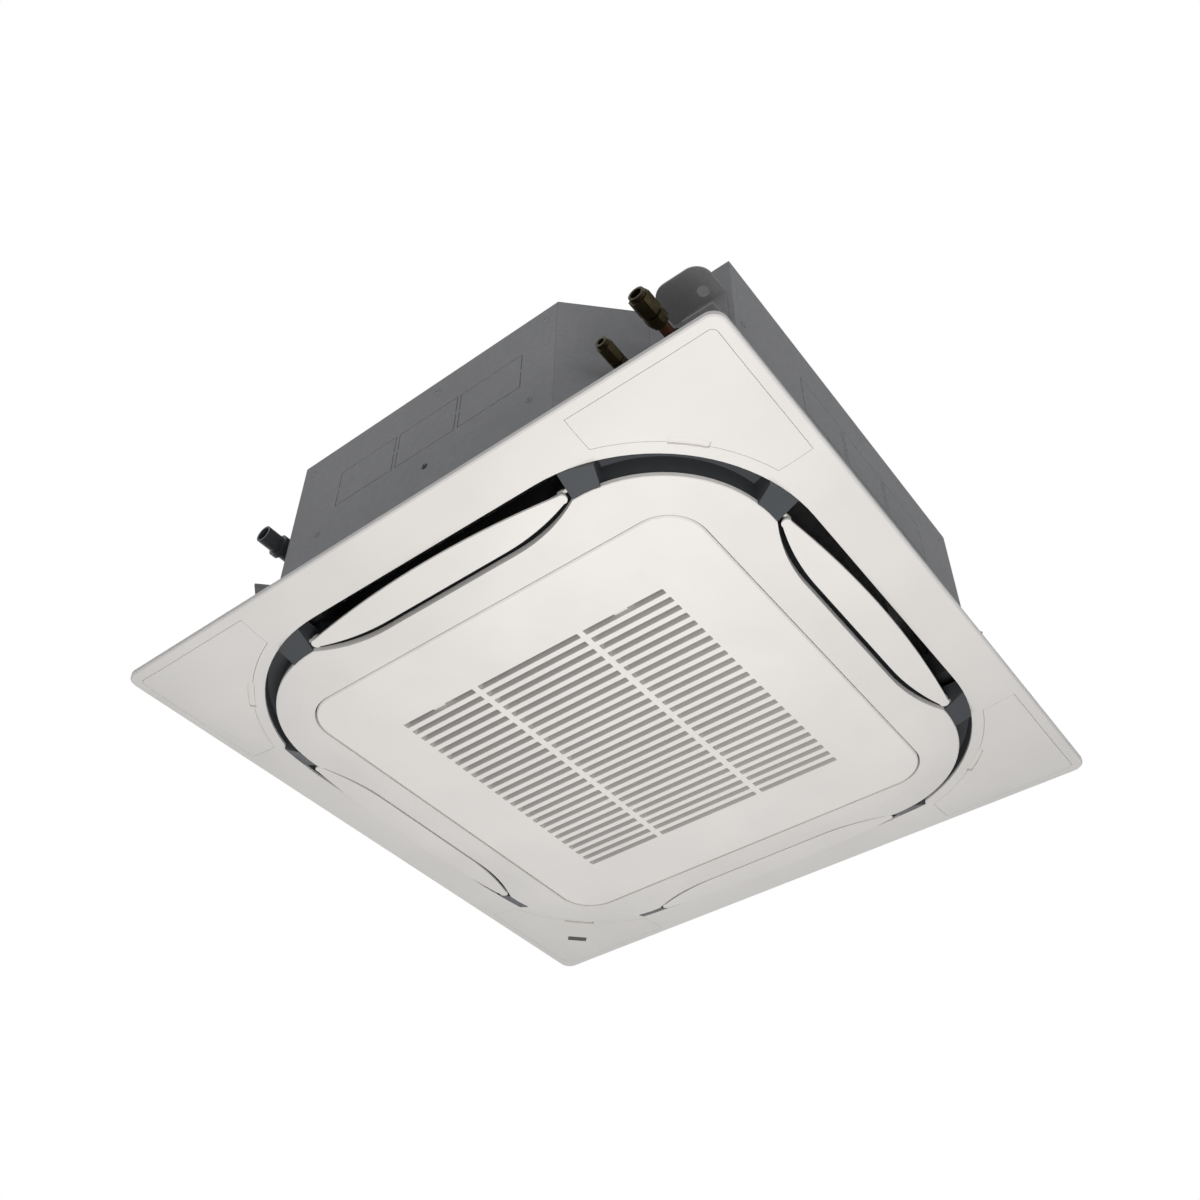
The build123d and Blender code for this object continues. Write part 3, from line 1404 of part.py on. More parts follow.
board_low = (-155.0, -294.0)
board_high = (100.0, -238.0)
standoff_x = (-140.0, 85.0)
standoff_y = (-288.0, -244.0)
standoff_radius = 3.0
relay_low = (-120.0, -285.0, board_z - 14)
relay_high = (-85.0, -250.0, board_z)
plug_low = (-60.0, -280.0, board_z - 8)
plug_high = (0.0, -262.0, board_z)
can_x = (25.0, 42.0, 59.0)
can_y = -268.0
can_radius = 6.0
can_height = 12.0
board_top = board_z + board_thick
box_inside = box_high[2] - box_sheet

with BuildPart() as control_board:
    cuboid((*board_low, board_z), (*board_high, board_top))
    for x in standoff_x:
        for y in standoff_y:
            disc((x, y), standoff_radius, board_top, box_inside)
    cuboid(relay_low, relay_high)
    cuboid(plug_low, plug_high)
    for x in can_x:
        disc((x, can_y), can_radius, board_z - can_height, board_z)
finish(control_board, "control_board")

terminal_low = (110.0, -285.0, board_z - 10)
terminal_high = (160.0, -255.0, box_inside)
terminal_count = 5
terminal_pitch = 9.4
terminal_slot = 6.4
terminal_depth = 5.0
terminal_wall = 3.0

with BuildPart() as terminal_block:
    cuboid(terminal_low, terminal_high)
    for k in range(terminal_count):
        start = terminal_low[0] + terminal_wall + terminal_pitch * k
        cuboid((start, terminal_low[1] - 1, terminal_low[2] - 1),
               (start + terminal_slot, terminal_high[1] + 1, terminal_low[2] + terminal_depth), Mode.SUBTRACT)
finish(terminal_block, "terminal_block")

sensor_at = (262.0, -244.0)
sensor_z = 45.0
sensor_radius = 3.5
sensor_half = 12.0
clip_half = (4.0, 6.0)
with BuildPart() as room_thermistor:
    cuboid((sensor_at[0] - clip_half[0], sensor_at[1] - clip_half[1], sensor_z + 3),
           (sensor_at[0] + clip_half[0], sensor_at[1] + clip_half[1], bell_low))
    rod_x(sensor_at[0] - sensor_half, sensor_at[0] + sensor_half, sensor_at[1], sensor_z, sensor_radius)
finish(room_thermistor, "room_thermistor")


# ------------------------------------------------------------------ drain pump, hose and socket
pump_centre = (-pump_at, -pump_at)
chamber_radius = 20.0
chamber = (98.0, 117.0)
housing = (96.0, 120.0)
can_top = 185.0
pump_shaft = 2.5
inlet_radius = 8.0
stub_y = (322.0, 334.0)
socket_start = 362.0
collar_radius = 17.0
socket_flange = 24.0
collar_back = 35.0           # distances back from the socket's tip
collar_front = 27.0
taper = (10.0, 14.0)         # where the socket's bore widens, from its inner end
pump_arm = (-45.0, 8.0, 150.0)   # start, half width and height of the pump's bracket
pump_arm_thick = 3.0
shaft_seat = 16.0
stub_depth = 8.0

with BuildPart() as drain_pump:
    disc(pump_centre, pump_radius, *housing)
    disc(pump_centre, chamber_radius, housing[1], can_top)
    disc(pump_centre, inlet_radius, trough_floor, housing[0])
    rod_out(stub_y[0], stub_y[1], -drain_x, pump_outlet_z, hose_radius)
    corner_slab((pump_arm[0], -pump_arm[1], pump_arm[2]),
                (-sheet - liner_thick, pump_arm[1], pump_arm[2] + pump_arm_thick))
    disc(pump_centre, chamber_radius, *chamber, Mode.SUBTRACT)
    disc(pump_centre, pump_shaft + run_gap, chamber[1], chamber[1] + shaft_seat, Mode.SUBTRACT)
    disc(pump_centre, inlet_radius - 3, trough_floor - 1, chamber[0], Mode.SUBTRACT)
    rod_out(stub_y[0] - stub_depth, stub_y[1], -drain_x, pump_outlet_z, hose_bore - 1, Mode.SUBTRACT)
finish(drain_pump, "drain_pump")

impeller_radius = 18.0
impeller_z = 99.5
with BuildPart() as drain_pump_impeller:
    disc(pump_centre, impeller_radius, impeller_z, impeller_z + 2)
    disc(pump_centre, pump_shaft, impeller_z, chamber[1] + 15)
    with Locations((*pump_centre, impeller_z + 8)):
        Box(2 * impeller_radius - 1, 2, 16)
        Box(2, 2 * impeller_radius - 1, 16)
    disc(pump_centre, inlet_radius - 2, impeller_z + 8, impeller_z + 16)
finish(drain_pump_impeller, "drain_pump_impeller")

hose_route = [(-drain_x, -stub_y[1], pump_outlet_z), (-drain_x, -hose_turn_y, pump_outlet_z),
              (-drain_x, -hose_turn_y, drain_z), (-drain_x, -socket_start, drain_z)]
with BuildPart() as drain_hose:
    tube(hose_route, hose_radius, hose_bend)
    tube(hose_route, hose_bore, hose_bend, Mode.SUBTRACT)
finish(drain_hose, "drain_hose")

with BuildPart() as drain_socket:
    back = drain_tip_y - collar_back
    front = drain_tip_y - collar_front
    turned(-drain_x, drain_z, [
        (socket_start, hose_bore), (socket_start, drain_radius), (back, drain_radius), (back, collar_radius),
        (front, collar_radius), (front, drain_radius), (drain_tip_y, drain_radius), (drain_tip_y, drain_bore),
        (socket_start + taper[1], drain_bore), (socket_start + taper[0], hose_bore)])
    centre = (2 * chamfer_middle - 2 * drain_x) / math.sqrt(2)
    corner_slab((0, centre - socket_flange, drain_z - socket_flange),
                (hanger_thick, centre + socket_flange, drain_z + socket_flange))
    rod_out(socket_start, drain_tip_y, -drain_x, drain_z, hose_bore, Mode.SUBTRACT)
finish(drain_socket, "drain_socket")

stem_radius = 3.0
bulb_radius = 13.0
bulb_z = (99.0, 117.0)
stop_radius = 7.0
stop_thick = 2.0
stop_gap = (1.0, 2.0)        # below and above the float's travel
float_arm = (6.0, 4.0, 148.0)    # half width, thickness and height of the float's bracket
float_top = bulb_z[1] + float_travel + stop_gap[1]
with BuildPart() as float_guide:
    disc(float_at, stem_radius, float_floor, float_arm[2] + 2)
    disc(float_at, stop_radius, bulb_z[0] - stop_gap[0] - stop_thick, bulb_z[0] - stop_gap[0])
    disc(float_at, stop_radius, float_top, float_top + stop_thick)
    cuboid((-body_half + sheet + liner_thick, float_at[1] - float_arm[0], float_arm[2]),
           (float_at[0] + float_arm[0], float_at[1] + float_arm[0], float_arm[2] + float_arm[1]))
finish(float_guide, "float_guide")

with BuildPart() as float_bulb:
    disc(float_at, bulb_radius, *bulb_z)
    disc(float_at, stem_radius + slide_gap, bulb_z[0] - 1, bulb_z[1] + 1, Mode.SUBTRACT)
finish(float_bulb, "float_bulb")


# ------------------------------------------------------------------ suspension brackets and casing screws
hanger_out = (hanger_x + hanger_y) / math.sqrt(2) - chamfer_middle * math.sqrt(2)
hanger_along = (hanger_y - hanger_x) / math.sqrt(2)
upper_z = 300.0
upper_hole = 8.0
upper_corner = 24.0
upper_x = (332.0, 412.0)
upper_reach = 392.0
web_x = (352.0, 412.0)
lower_x = (368.0, 412.0)
lower_reach = 373.0

with BuildPart() as hanger:
    corner_slab((0, hanger_along - hanger_width / 2, hanger_z),
                (hanger_reach, hanger_along + hanger_width / 2, hanger_z + hanger_thick))
    corner_slab((0, hanger_along - hanger_width / 2, hanger_z),
                (hanger_thick, hanger_along + hanger_width / 2, hanger_z + hanger_height))
    disc((-hanger_x, -hanger_y), hanger_hole, hanger_z, hanger_z + hanger_thick, Mode.SUBTRACT)
finish(hanger, "hanger_bracket_4")

with BuildPart() as far_hanger:
    add(hanger.part, rotation=(0, 0, 180))
finish(far_hanger, "hanger_bracket_2")

with BuildPart() as side_hanger:
    mirror(hanger.part, about=Plane.XZ)
finish(side_hanger, "hanger_bracket_3")

with BuildPart() as pipe_hanger:
    cuboid((lower_x[0], -lower_reach, hanger_z), (lower_x[1], -pipe_wall_y, hanger_z + hanger_thick))
    cuboid((web_x[0], -pipe_wall_y - hanger_thick, hanger_z), (web_x[1], -pipe_wall_y, upper_z + hanger_thick))
    with BuildSketch(Plane.XY.offset(upper_z)) as upper:
        with Locations(((upper_x[0] + upper_x[1]) / 2, -(pipe_wall_y + upper_reach) / 2)):
            Rectangle(upper_x[1] - upper_x[0], upper_reach - pipe_wall_y)
        fillet(upper.vertices().group_by(Axis.Y)[0], upper_corner)
    extrude(upper.sketch, amount=hanger_thick)
    disc((hanger_x, -hanger_y), upper_hole, upper_z, upper_z + hanger_thick, Mode.SUBTRACT)
    disc((hanger_x, -hanger_y), hanger_hole, hanger_z, hanger_z + hanger_thick, Mode.SUBTRACT)
finish(pipe_hanger, "hanger_bracket_1")

side_screws = ((-4.0, 185.0), (-200.0, 185.0), (170.0, 185.0), (-240.0, 340.0), (0.0, 340.0), (190.0, 340.0),
               (-240.0, 90.0), (190.0, 90.0))
end_screws = ((-317.0, 245.0), (-317.0, 120.0), (240.0, 185.0), (240.0, 340.0), (0.0, 340.0), (240.0, 90.0))
screw_head = 4.5
screw_height = 2.0
with BuildPart() as casing_screws:
    for x, z in side_screws:
        rod_out(body_half, body_half + screw_height, x, z, screw_head)
    for y, z in end_screws:
        rod_x(body_half, body_half + screw_height, y, z, screw_head)
finish(casing_screws, "casing_screws")
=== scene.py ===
import json
import math

import bmesh
import bpy
from mathutils import Matrix, Vector


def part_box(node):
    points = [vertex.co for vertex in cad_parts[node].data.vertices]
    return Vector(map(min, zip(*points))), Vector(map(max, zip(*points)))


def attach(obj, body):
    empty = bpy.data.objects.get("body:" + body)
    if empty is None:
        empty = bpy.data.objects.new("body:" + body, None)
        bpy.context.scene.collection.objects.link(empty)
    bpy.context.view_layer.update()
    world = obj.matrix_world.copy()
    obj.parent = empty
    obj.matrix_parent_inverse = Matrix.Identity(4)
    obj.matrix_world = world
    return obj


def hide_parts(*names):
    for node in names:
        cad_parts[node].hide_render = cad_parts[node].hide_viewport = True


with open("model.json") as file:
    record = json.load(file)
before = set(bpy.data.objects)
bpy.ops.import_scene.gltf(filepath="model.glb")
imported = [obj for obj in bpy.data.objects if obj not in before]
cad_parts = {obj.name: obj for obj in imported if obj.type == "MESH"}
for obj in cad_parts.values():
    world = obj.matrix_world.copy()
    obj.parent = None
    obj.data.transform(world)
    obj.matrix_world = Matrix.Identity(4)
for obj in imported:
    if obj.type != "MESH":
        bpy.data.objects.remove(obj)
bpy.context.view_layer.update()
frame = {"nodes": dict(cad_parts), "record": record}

# Materials, fine pieces, light and camera for a ceiling cassette air conditioner. Lengths are in metres.

# ------------------------------------------------------------------ camera, floor and light
CAMERA_AT = Vector((0.847, -1.146, -1.149))
CAMERA_TURN = 36.99          # degrees from +Y, camera on the (+X, -Y) side
CAMERA_TILT = 43.72          # degrees above the horizon, looking up
LENS = 40.04
CAMERA_SHIFT = (-0.0116, 0.0249)
CLOSEST_SEEN = 0.02
FLOOR_Z = -2.6
FLOOR_SIZE = 24.0
FLOOR_PALE = (0.86, 0.86, 0.85, 1.0)
BACKDROP_WHITE = (1.0, 1.0, 1.0, 1.0)
SOFT_DAYLIGHT = (0.93, 0.95, 1.0, 1.0)
SOFT_STRENGTH = 0.32
NEAR_WARM = (1.0, 0.975, 0.96)
BACK_WARM = (1.0, 0.985, 0.97)
KEY_WARM = (1.0, 0.985, 0.96)
FILL_COOL = (0.97, 0.98, 1.0)


def make_camera():
    """The photograph's camera: below the ceiling panel, looking up past its piping corner."""
    data = bpy.data.cameras.new("camera")
    data.lens = LENS
    data.sensor_width = 36.0
    data.shift_x, data.shift_y = CAMERA_SHIFT
    data.clip_start = CLOSEST_SEEN
    camera = bpy.data.objects.new("camera", data)
    camera.location = CAMERA_AT
    camera.rotation_euler = (math.radians(90 + CAMERA_TILT), 0, math.radians(CAMERA_TURN))
    bpy.context.scene.collection.objects.link(camera)
    bpy.context.scene.camera = camera


def white_for_view(tree, lit):
    """A shader that is plain white where the camera or a reflection sees it, and lit elsewhere."""
    path = tree.nodes.new("ShaderNodeLightPath")
    seen = path.outputs["Is Camera Ray"]
    for ray in ("Is Glossy Ray", "Is Transmission Ray"):
        either = tree.nodes.new("ShaderNodeMath")
        either.operation = "MAXIMUM"
        tree.links.new(seen, either.inputs[0])
        tree.links.new(path.outputs[ray], either.inputs[1])
        seen = either.outputs[0]
    mix = tree.nodes.new("ShaderNodeMixShader")
    tree.links.new(seen, mix.inputs[0])
    tree.links.new(lit.outputs[0], mix.inputs[1])
    return mix


def make_world():
    """Soft light from all round, white where it is seen."""
    world = bpy.data.worlds.new("studio")
    world.use_nodes = True
    tree = world.node_tree
    tree.nodes.clear()
    out = tree.nodes.new("ShaderNodeOutputWorld")
    soft = tree.nodes.new("ShaderNodeBackground")
    soft.inputs["Color"].default_value = SOFT_DAYLIGHT
    soft.inputs["Strength"].default_value = SOFT_STRENGTH
    white = tree.nodes.new("ShaderNodeBackground")
    white.inputs["Color"].default_value = BACKDROP_WHITE
    white.inputs["Strength"].default_value = 1.0
    mix = white_for_view(tree, soft)
    tree.links.new(white.outputs[0], mix.inputs[2])
    tree.links.new(mix.outputs[0], out.inputs["Surface"])
    bpy.context.scene.world = world


def make_floor():
    """A plain pale floor well below the unit, which hangs in the air."""
    bpy.ops.mesh.primitive_plane_add(size=FLOOR_SIZE, location=(0, 0, FLOOR_Z))
    floor = bpy.context.object
    floor.name = "studio_floor"
    mat = bpy.data.materials.new("pale_floor")
    mat.use_nodes = True
    bsdf = mat.node_tree.nodes["Principled BSDF"]
    bsdf.inputs["Base Color"].default_value = FLOOR_PALE
    bsdf.inputs["Roughness"].default_value = 0.9
    floor.data.materials.append(mat)


def area_light(name, location, target, size, power, colour=(1.0, 1.0, 1.0)):
    """A round lamp at a place, aimed at a target."""
    data = bpy.data.lights.new(name, "AREA")
    data.shape = "DISK"
    data.size = size
    data.energy = power
    data.color = colour
    light = bpy.data.objects.new(name, data)
    light.location = location
    direction = Vector(target) - Vector(location)
    light.rotation_euler = direction.to_track_quat("-Z", "Y").to_euler()
    bpy.context.scene.collection.objects.link(light)


def make_lights():
    """Brightest under the near corner, as in the photograph, and dim on the casing's walls."""
    area_light("near_corner", (0.6, -0.62, -1.3), (0.2, -0.2, 0.0), size=0.7, power=14.5, colour=NEAR_WARM)
    area_light("low_back", (-0.35, 0.35, -1.05), (-0.15, 0.15, 0.0), size=0.6, power=2.6, colour=BACK_WARM)
    area_light("key_below", (-1.9, -2.3, -2.2), (0, 0, 0.1), size=1.8, power=7.0, colour=KEY_WARM)
    area_light("fill_right", (2.9, -1.3, -0.3), (0, 0, 0.15), size=1.6, power=3.0, colour=FILL_COOL)
    area_light("top_back", (-0.3, 1.5, 2.8), (0, 0, 0.3), size=1.4, power=20.0)


# ------------------------------------------------------------------ materials
# Colours are linear, and scales are in cells or waves to the metre.
BEVEL_SAMPLES = 4
PLASTIC_MOTTLE = 0.03         # flow marks, as a share of the colour
PLASTIC_EDGE = 0.0006         # radius that softens an edge's light
SHEET_EDGE = 0.0005
METAL_EDGE = 0.0003
RUBBER_EDGE = 0.0004
BOARD_EDGE = 0.0003
SPANGLE_WARP = 0.012          # how far the crystals' borders wander
SPANGLE_WANDER = 30.0
WEAR_SCALE = 60.0


def new_material(name):
    """A material with its node tree and its surface shader."""
    mat = bpy.data.materials.new(name)
    mat.use_nodes = True
    return mat, mat.node_tree, mat.node_tree.nodes["Principled BSDF"]


def place(tree, stretch=(1.0, 1.0, 1.0)):
    """Position on the object in metres, as texture coordinates."""
    where = tree.nodes.new("ShaderNodeTexCoord")
    scale = tree.nodes.new("ShaderNodeMapping")
    scale.inputs["Scale"].default_value = stretch
    tree.links.new(where.outputs["Object"], scale.inputs["Vector"])
    return scale.outputs["Vector"]


def noise(tree, scale, detail=3.0, roughness=0.5, stretch=(1.0, 1.0, 1.0)):
    """Soft noise over the object, about 0.5 on average."""
    node = tree.nodes.new("ShaderNodeTexNoise")
    node.inputs["Scale"].default_value = scale
    node.inputs["Detail"].default_value = detail
    node.inputs["Roughness"].default_value = roughness
    tree.links.new(place(tree, stretch), node.inputs["Vector"])
    return node.outputs["Fac"]


def spread(tree, value, low, high, start=0.3, stop=0.7):
    """A value's stretch from start to stop, mapped to low up to high."""
    node = tree.nodes.new("ShaderNodeMapRange")
    node.inputs["From Min"].default_value = start
    node.inputs["From Max"].default_value = stop
    node.inputs["To Min"].default_value = low
    node.inputs["To Max"].default_value = high
    tree.links.new(value, node.inputs["Value"])
    return node.outputs["Result"]


def two_tone(tree, factor, first, second):
    """A blend of two colours, each a colour or a socket."""
    node = tree.nodes.new("ShaderNodeMix")
    node.data_type = "RGBA"
    tree.links.new(factor, node.inputs["Factor"])
    for socket, colour in (("A", first), ("B", second)):
        node_input = [s for s in node.inputs if s.name == socket and s.type == "RGBA"][0]
        if isinstance(colour, tuple):
            node_input.default_value = (*colour, 1.0)
        else:
            tree.links.new(colour, node_input)
    return [s for s in node.outputs if s.type == "RGBA"][0]


def bumped(tree, bsdf, heights, edge):
    """Bump from a list of (height, depth in metres), on top of edges rounded by a radius."""
    normal = None
    if edge:
        bevel = tree.nodes.new("ShaderNodeBevel")
        bevel.samples = BEVEL_SAMPLES
        bevel.inputs["Radius"].default_value = edge
        normal = bevel.outputs["Normal"]
    for height, depth in heights:
        bump = tree.nodes.new("ShaderNodeBump")
        bump.inputs["Distance"].default_value = depth
        bump.inputs["Strength"].default_value = 1.0
        tree.links.new(height, bump.inputs["Height"])
        if normal:
            tree.links.new(normal, bump.inputs["Normal"])
        normal = bump.outputs["Normal"]
    if normal:
        tree.links.new(normal, bsdf.inputs["Normal"])


def scaled(colour, factor):
    """A colour made lighter or darker."""
    return tuple(min(1.0, c * factor) for c in colour)


def moulded(name, colour, roughness=0.42, grain=1400.0, depth=0.00004):
    """Injection-moulded plastic: a fine spark-eroded grain, slight flow marks and soft edges."""
    mat, tree, bsdf = new_material(name)
    flow = spread(tree, noise(tree, scale=7.0, detail=2.0), 0.0, 1.0)
    fine = noise(tree, scale=grain, detail=2.0, roughness=0.6)
    tone = two_tone(tree, flow, scaled(colour, 1 - PLASTIC_MOTTLE), scaled(colour, 1 + PLASTIC_MOTTLE))
    tree.links.new(tone, bsdf.inputs["Base Color"])
    rough = spread(tree, noise(tree, scale=40.0, detail=4.0), roughness - 0.05, roughness + 0.06)
    tree.links.new(rough, bsdf.inputs["Roughness"])
    bumped(tree, bsdf, [(fine, depth)], PLASTIC_EDGE)
    return mat


def galvanised(name, colour, roughness=0.5, metallic=0.35, spangle=150.0, contrast=0.07, gloss=0.5):
    """Zinc-coated sheet: fine crystal spangle, faint rolling marks and a dull bloom."""
    mat, tree, bsdf = new_material(name)
    cells = tree.nodes.new("ShaderNodeTexVoronoi")
    cells.inputs["Scale"].default_value = spangle
    wobble = tree.nodes.new("ShaderNodeTexNoise")
    wobble.inputs["Scale"].default_value = SPANGLE_WANDER
    tree.links.new(place(tree), wobble.inputs["Vector"])
    blend = tree.nodes.new("ShaderNodeVectorMath")
    blend.operation = "MULTIPLY_ADD"
    blend.inputs[1].default_value = (SPANGLE_WARP, SPANGLE_WARP, SPANGLE_WARP)
    tree.links.new(wobble.outputs["Color"], blend.inputs[0])
    tree.links.new(place(tree), blend.inputs[2])
    tree.links.new(blend.outputs[0], cells.inputs["Vector"])
    bright = tree.nodes.new("ShaderNodeSeparateColor")
    tree.links.new(cells.outputs["Color"], bright.inputs[0])
    tone = two_tone(tree, bright.outputs[0], scaled(colour, 1 - contrast), scaled(colour, 1 + contrast))
    bloom = spread(tree, noise(tree, scale=5.0, detail=4.0), 0.0, 0.55)
    dull = two_tone(tree, bloom, tone, scaled(colour, 0.86))
    tree.links.new(dull, bsdf.inputs["Base Color"])
    bsdf.inputs["Metallic"].default_value = metallic
    bsdf.inputs["Specular IOR Level"].default_value = gloss
    rough = spread(tree, bright.outputs[1], roughness - 0.08, roughness + 0.1, 0.0, 1.0)
    tree.links.new(rough, bsdf.inputs["Roughness"])
    rolled = noise(tree, scale=120.0, detail=3.0, roughness=0.6, stretch=(1.0, 1.0, 14.0))
    bumped(tree, bsdf, [(rolled, 0.00003)], SHEET_EDGE)
    return mat


def foam(name, colour, bead=420.0, depth=0.0006):
    """Expanded bead foam: packed cells with darker joints."""
    mat, tree, bsdf = new_material(name)
    cells = tree.nodes.new("ShaderNodeTexVoronoi")
    cells.inputs["Scale"].default_value = bead
    tree.links.new(place(tree), cells.inputs["Vector"])
    joints = spread(tree, cells.outputs["Distance"], 0.0, 1.0, 0.1, 0.6)
    tone = two_tone(tree, joints, colour, scaled(colour, 0.8))
    tree.links.new(tone, bsdf.inputs["Base Color"])
    bsdf.inputs["Roughness"].default_value = 0.92
    bumped(tree, bsdf, [(cells.outputs["Distance"], -depth)], 0)
    return mat


def metal(name, colour, roughness=0.3, wear=0.12):
    """Bare machined or drawn metal with faint tool lines and dulled patches."""
    mat, tree, bsdf = new_material(name)
    dulled = noise(tree, scale=WEAR_SCALE, detail=4.0, roughness=0.6)
    patches = spread(tree, dulled, 0.0, 1.0, 0.35, 0.65)
    tone = two_tone(tree, patches, scaled(colour, 1 - wear), scaled(colour, 1 + wear))
    tree.links.new(tone, bsdf.inputs["Base Color"])
    bsdf.inputs["Metallic"].default_value = 1.0
    rough = spread(tree, noise(tree, scale=WEAR_SCALE * 3), roughness - 0.07, roughness + 0.12)
    tree.links.new(rough, bsdf.inputs["Roughness"])
    lines = noise(tree, scale=900.0, detail=2.0)
    bumped(tree, bsdf, [(lines, 0.00001)], METAL_EDGE)
    return mat


def rubber(name, colour, roughness=0.8):
    """Dusty rubber, matt and finely grained."""
    mat, tree, bsdf = new_material(name)
    dust = spread(tree, noise(tree, scale=90.0, detail=5.0, roughness=0.65), 0.0, 0.5)
    tree.links.new(two_tone(tree, dust, colour, scaled(colour, 1.9)), bsdf.inputs["Base Color"])
    bsdf.inputs["Roughness"].default_value = roughness
    bumped(tree, bsdf, [(noise(tree, scale=1100.0, detail=2.0), 0.00006)], RUBBER_EDGE)
    return mat


def fins(name, colour):
    """Edges of thin aluminium fins, close together."""
    mat, tree, bsdf = new_material(name)
    wave = tree.nodes.new("ShaderNodeTexNoise")
    wave.inputs["Scale"].default_value = 3.0
    tree.links.new(place(tree), wave.inputs["Vector"])
    tone = two_tone(tree, wave.outputs["Fac"], scaled(colour, 0.55), scaled(colour, 0.95))
    tree.links.new(tone, bsdf.inputs["Base Color"])
    bsdf.inputs["Metallic"].default_value = 0.8
    bsdf.inputs["Roughness"].default_value = 0.5
    stripes = noise(tree, scale=300.0, detail=1.0, stretch=(3.0, 3.0, 0.05))
    bumped(tree, bsdf, [(stripes, 0.0008)], 0)
    return mat


def board(name, colour):
    """Lacquered circuit board with paler tracks."""
    mat, tree, bsdf = new_material(name)
    blotches = noise(tree, scale=260.0, detail=1.0, roughness=0.3)
    tracks = spread(tree, blotches, 0.0, 1.0, 0.5, 0.56)
    tree.links.new(two_tone(tree, tracks, colour, scaled(colour, 1.7)), bsdf.inputs["Base Color"])
    bsdf.inputs["Roughness"].default_value = 0.3
    bumped(tree, bsdf, [(tracks, 0.00004)], BOARD_EDGE)
    return mat


def mesh_cloth(name, colour):
    """Fine woven threads in two tones."""
    mat, tree, bsdf = new_material(name)
    threads = tree.nodes.new("ShaderNodeTexChecker")
    threads.inputs["Scale"].default_value = 900.0
    tree.links.new(place(tree), threads.inputs["Vector"])
    tone = two_tone(tree, threads.outputs["Fac"], colour, scaled(colour, 0.5))
    tree.links.new(tone, bsdf.inputs["Base Color"])
    bsdf.inputs["Roughness"].default_value = 0.7
    bumped(tree, bsdf, [(threads.outputs["Fac"], 0.0002)], 0)
    return mat


def slot_materials():
    """One material for each material slot of the record."""
    white = (0.745, 0.728, 0.700)
    return {
        "panel_white": moulded("panel_plastic", white, roughness=0.40),
        "flap_white": moulded("flap_plastic", scaled(white, 1.02), roughness=0.38),
        "grille_white": moulded("grille_plastic", scaled(white, 1.05), roughness=0.42),
        "ring_grey": moulded("ring_plastic", (0.060, 0.066, 0.072), roughness=0.5,
                             grain=1000.0, depth=0.00008),
        "lamp_dark": moulded("lamp_plastic", (0.10, 0.10, 0.10), roughness=0.2,
                             grain=600.0, depth=0.00001),
        "seal_foam": foam("seal_foam", (0.035, 0.035, 0.036), bead=800.0, depth=0.0003),
        "lug_steel": galvanised("lug_zinc", (0.52, 0.53, 0.54), roughness=0.4),
        "screw_steel": metal("screw_zinc", (0.50, 0.50, 0.50), roughness=0.35),
        "motor_housing": moulded("motor_plastic", (0.62, 0.61, 0.56), roughness=0.45),
        "bush_plastic": moulded("bush_plastic", (0.05, 0.05, 0.05), roughness=0.4),
        "pin_steel": metal("pin_steel", (0.56, 0.56, 0.56), roughness=0.25),
        "filter_plastic": moulded("filter_plastic", (0.07, 0.075, 0.08), roughness=0.5),
        # The net is real, but its dark grey is partly painted shade: it is kept dark so that the grille's
        # slots read as shaded.
        "filter_mesh": mesh_cloth("filter_net", (0.10, 0.11, 0.12)),
        "latch_white": moulded("latch_plastic", scaled(white, 0.96), roughness=0.45),
        "casing_steel": galvanised("casing_zinc", (0.455, 0.452, 0.450), roughness=0.75, metallic=0.0,
                                   spangle=190.0, contrast=0.05, gloss=0.05),
        "liner_foam": foam("liner_foam", (0.72, 0.72, 0.70)),
        "pan_foam": foam("pan_foam", (0.05, 0.05, 0.052), bead=500.0, depth=0.0003),
        "fin_aluminium": fins("fin_edges", (0.72, 0.74, 0.76)),
        "end_steel": galvanised("end_zinc", (0.50, 0.51, 0.52), roughness=0.42),
        "copper": metal("copper_tube", (0.16, 0.07, 0.045), roughness=0.42),
        "fitting_brass": metal("dull_brass", (0.060, 0.048, 0.026), roughness=0.45, wear=0.25),
        "grommet_rubber": rubber("grommet_rubber", (0.025, 0.025, 0.026)),
        "motor_steel": moulded("motor_paint", (0.055, 0.058, 0.062), roughness=0.35,
                               grain=500.0, depth=0.00006),
        "mount_rubber": rubber("mount_rubber", (0.03, 0.03, 0.03)),
        "fan_plastic": moulded("fan_plastic", (0.045, 0.048, 0.052), roughness=0.45),
        "bell_plastic": moulded("bell_plastic", (0.075, 0.08, 0.085), roughness=0.48),
        "board_green": board("board_green", (0.02, 0.11, 0.045)),
        "terminal_white": moulded("terminal_plastic", (0.52, 0.50, 0.44), roughness=0.5),
        "sensor_black": moulded("sensor_plastic", (0.02, 0.02, 0.02), roughness=0.4),
        "pump_plastic": moulded("pump_plastic", (0.10, 0.11, 0.12), roughness=0.45),
        "hose_rubber": rubber("hose_rubber", (0.10, 0.10, 0.11), roughness=0.6),
        "socket_plastic": moulded("socket_plastic", (0.045, 0.048, 0.052), roughness=0.4),
        "float_white": moulded("float_plastic", (0.70, 0.70, 0.66), roughness=0.45),
        "bracket_steel": galvanised("bracket_zinc", (0.40, 0.398, 0.396), roughness=0.65, metallic=0.1,
                                    spangle=190.0, contrast=0.05, gloss=0.2),
    }


def dress_nodes(materials):
    """Give each CAD node the material of its slot."""
    slots = {s["node"]: s["material_slot"] for s in frame["record"]["subparts"]}
    for name, node in frame["nodes"].items():
        node.data.materials.clear()
        node.data.materials.append(materials[slots[name]])


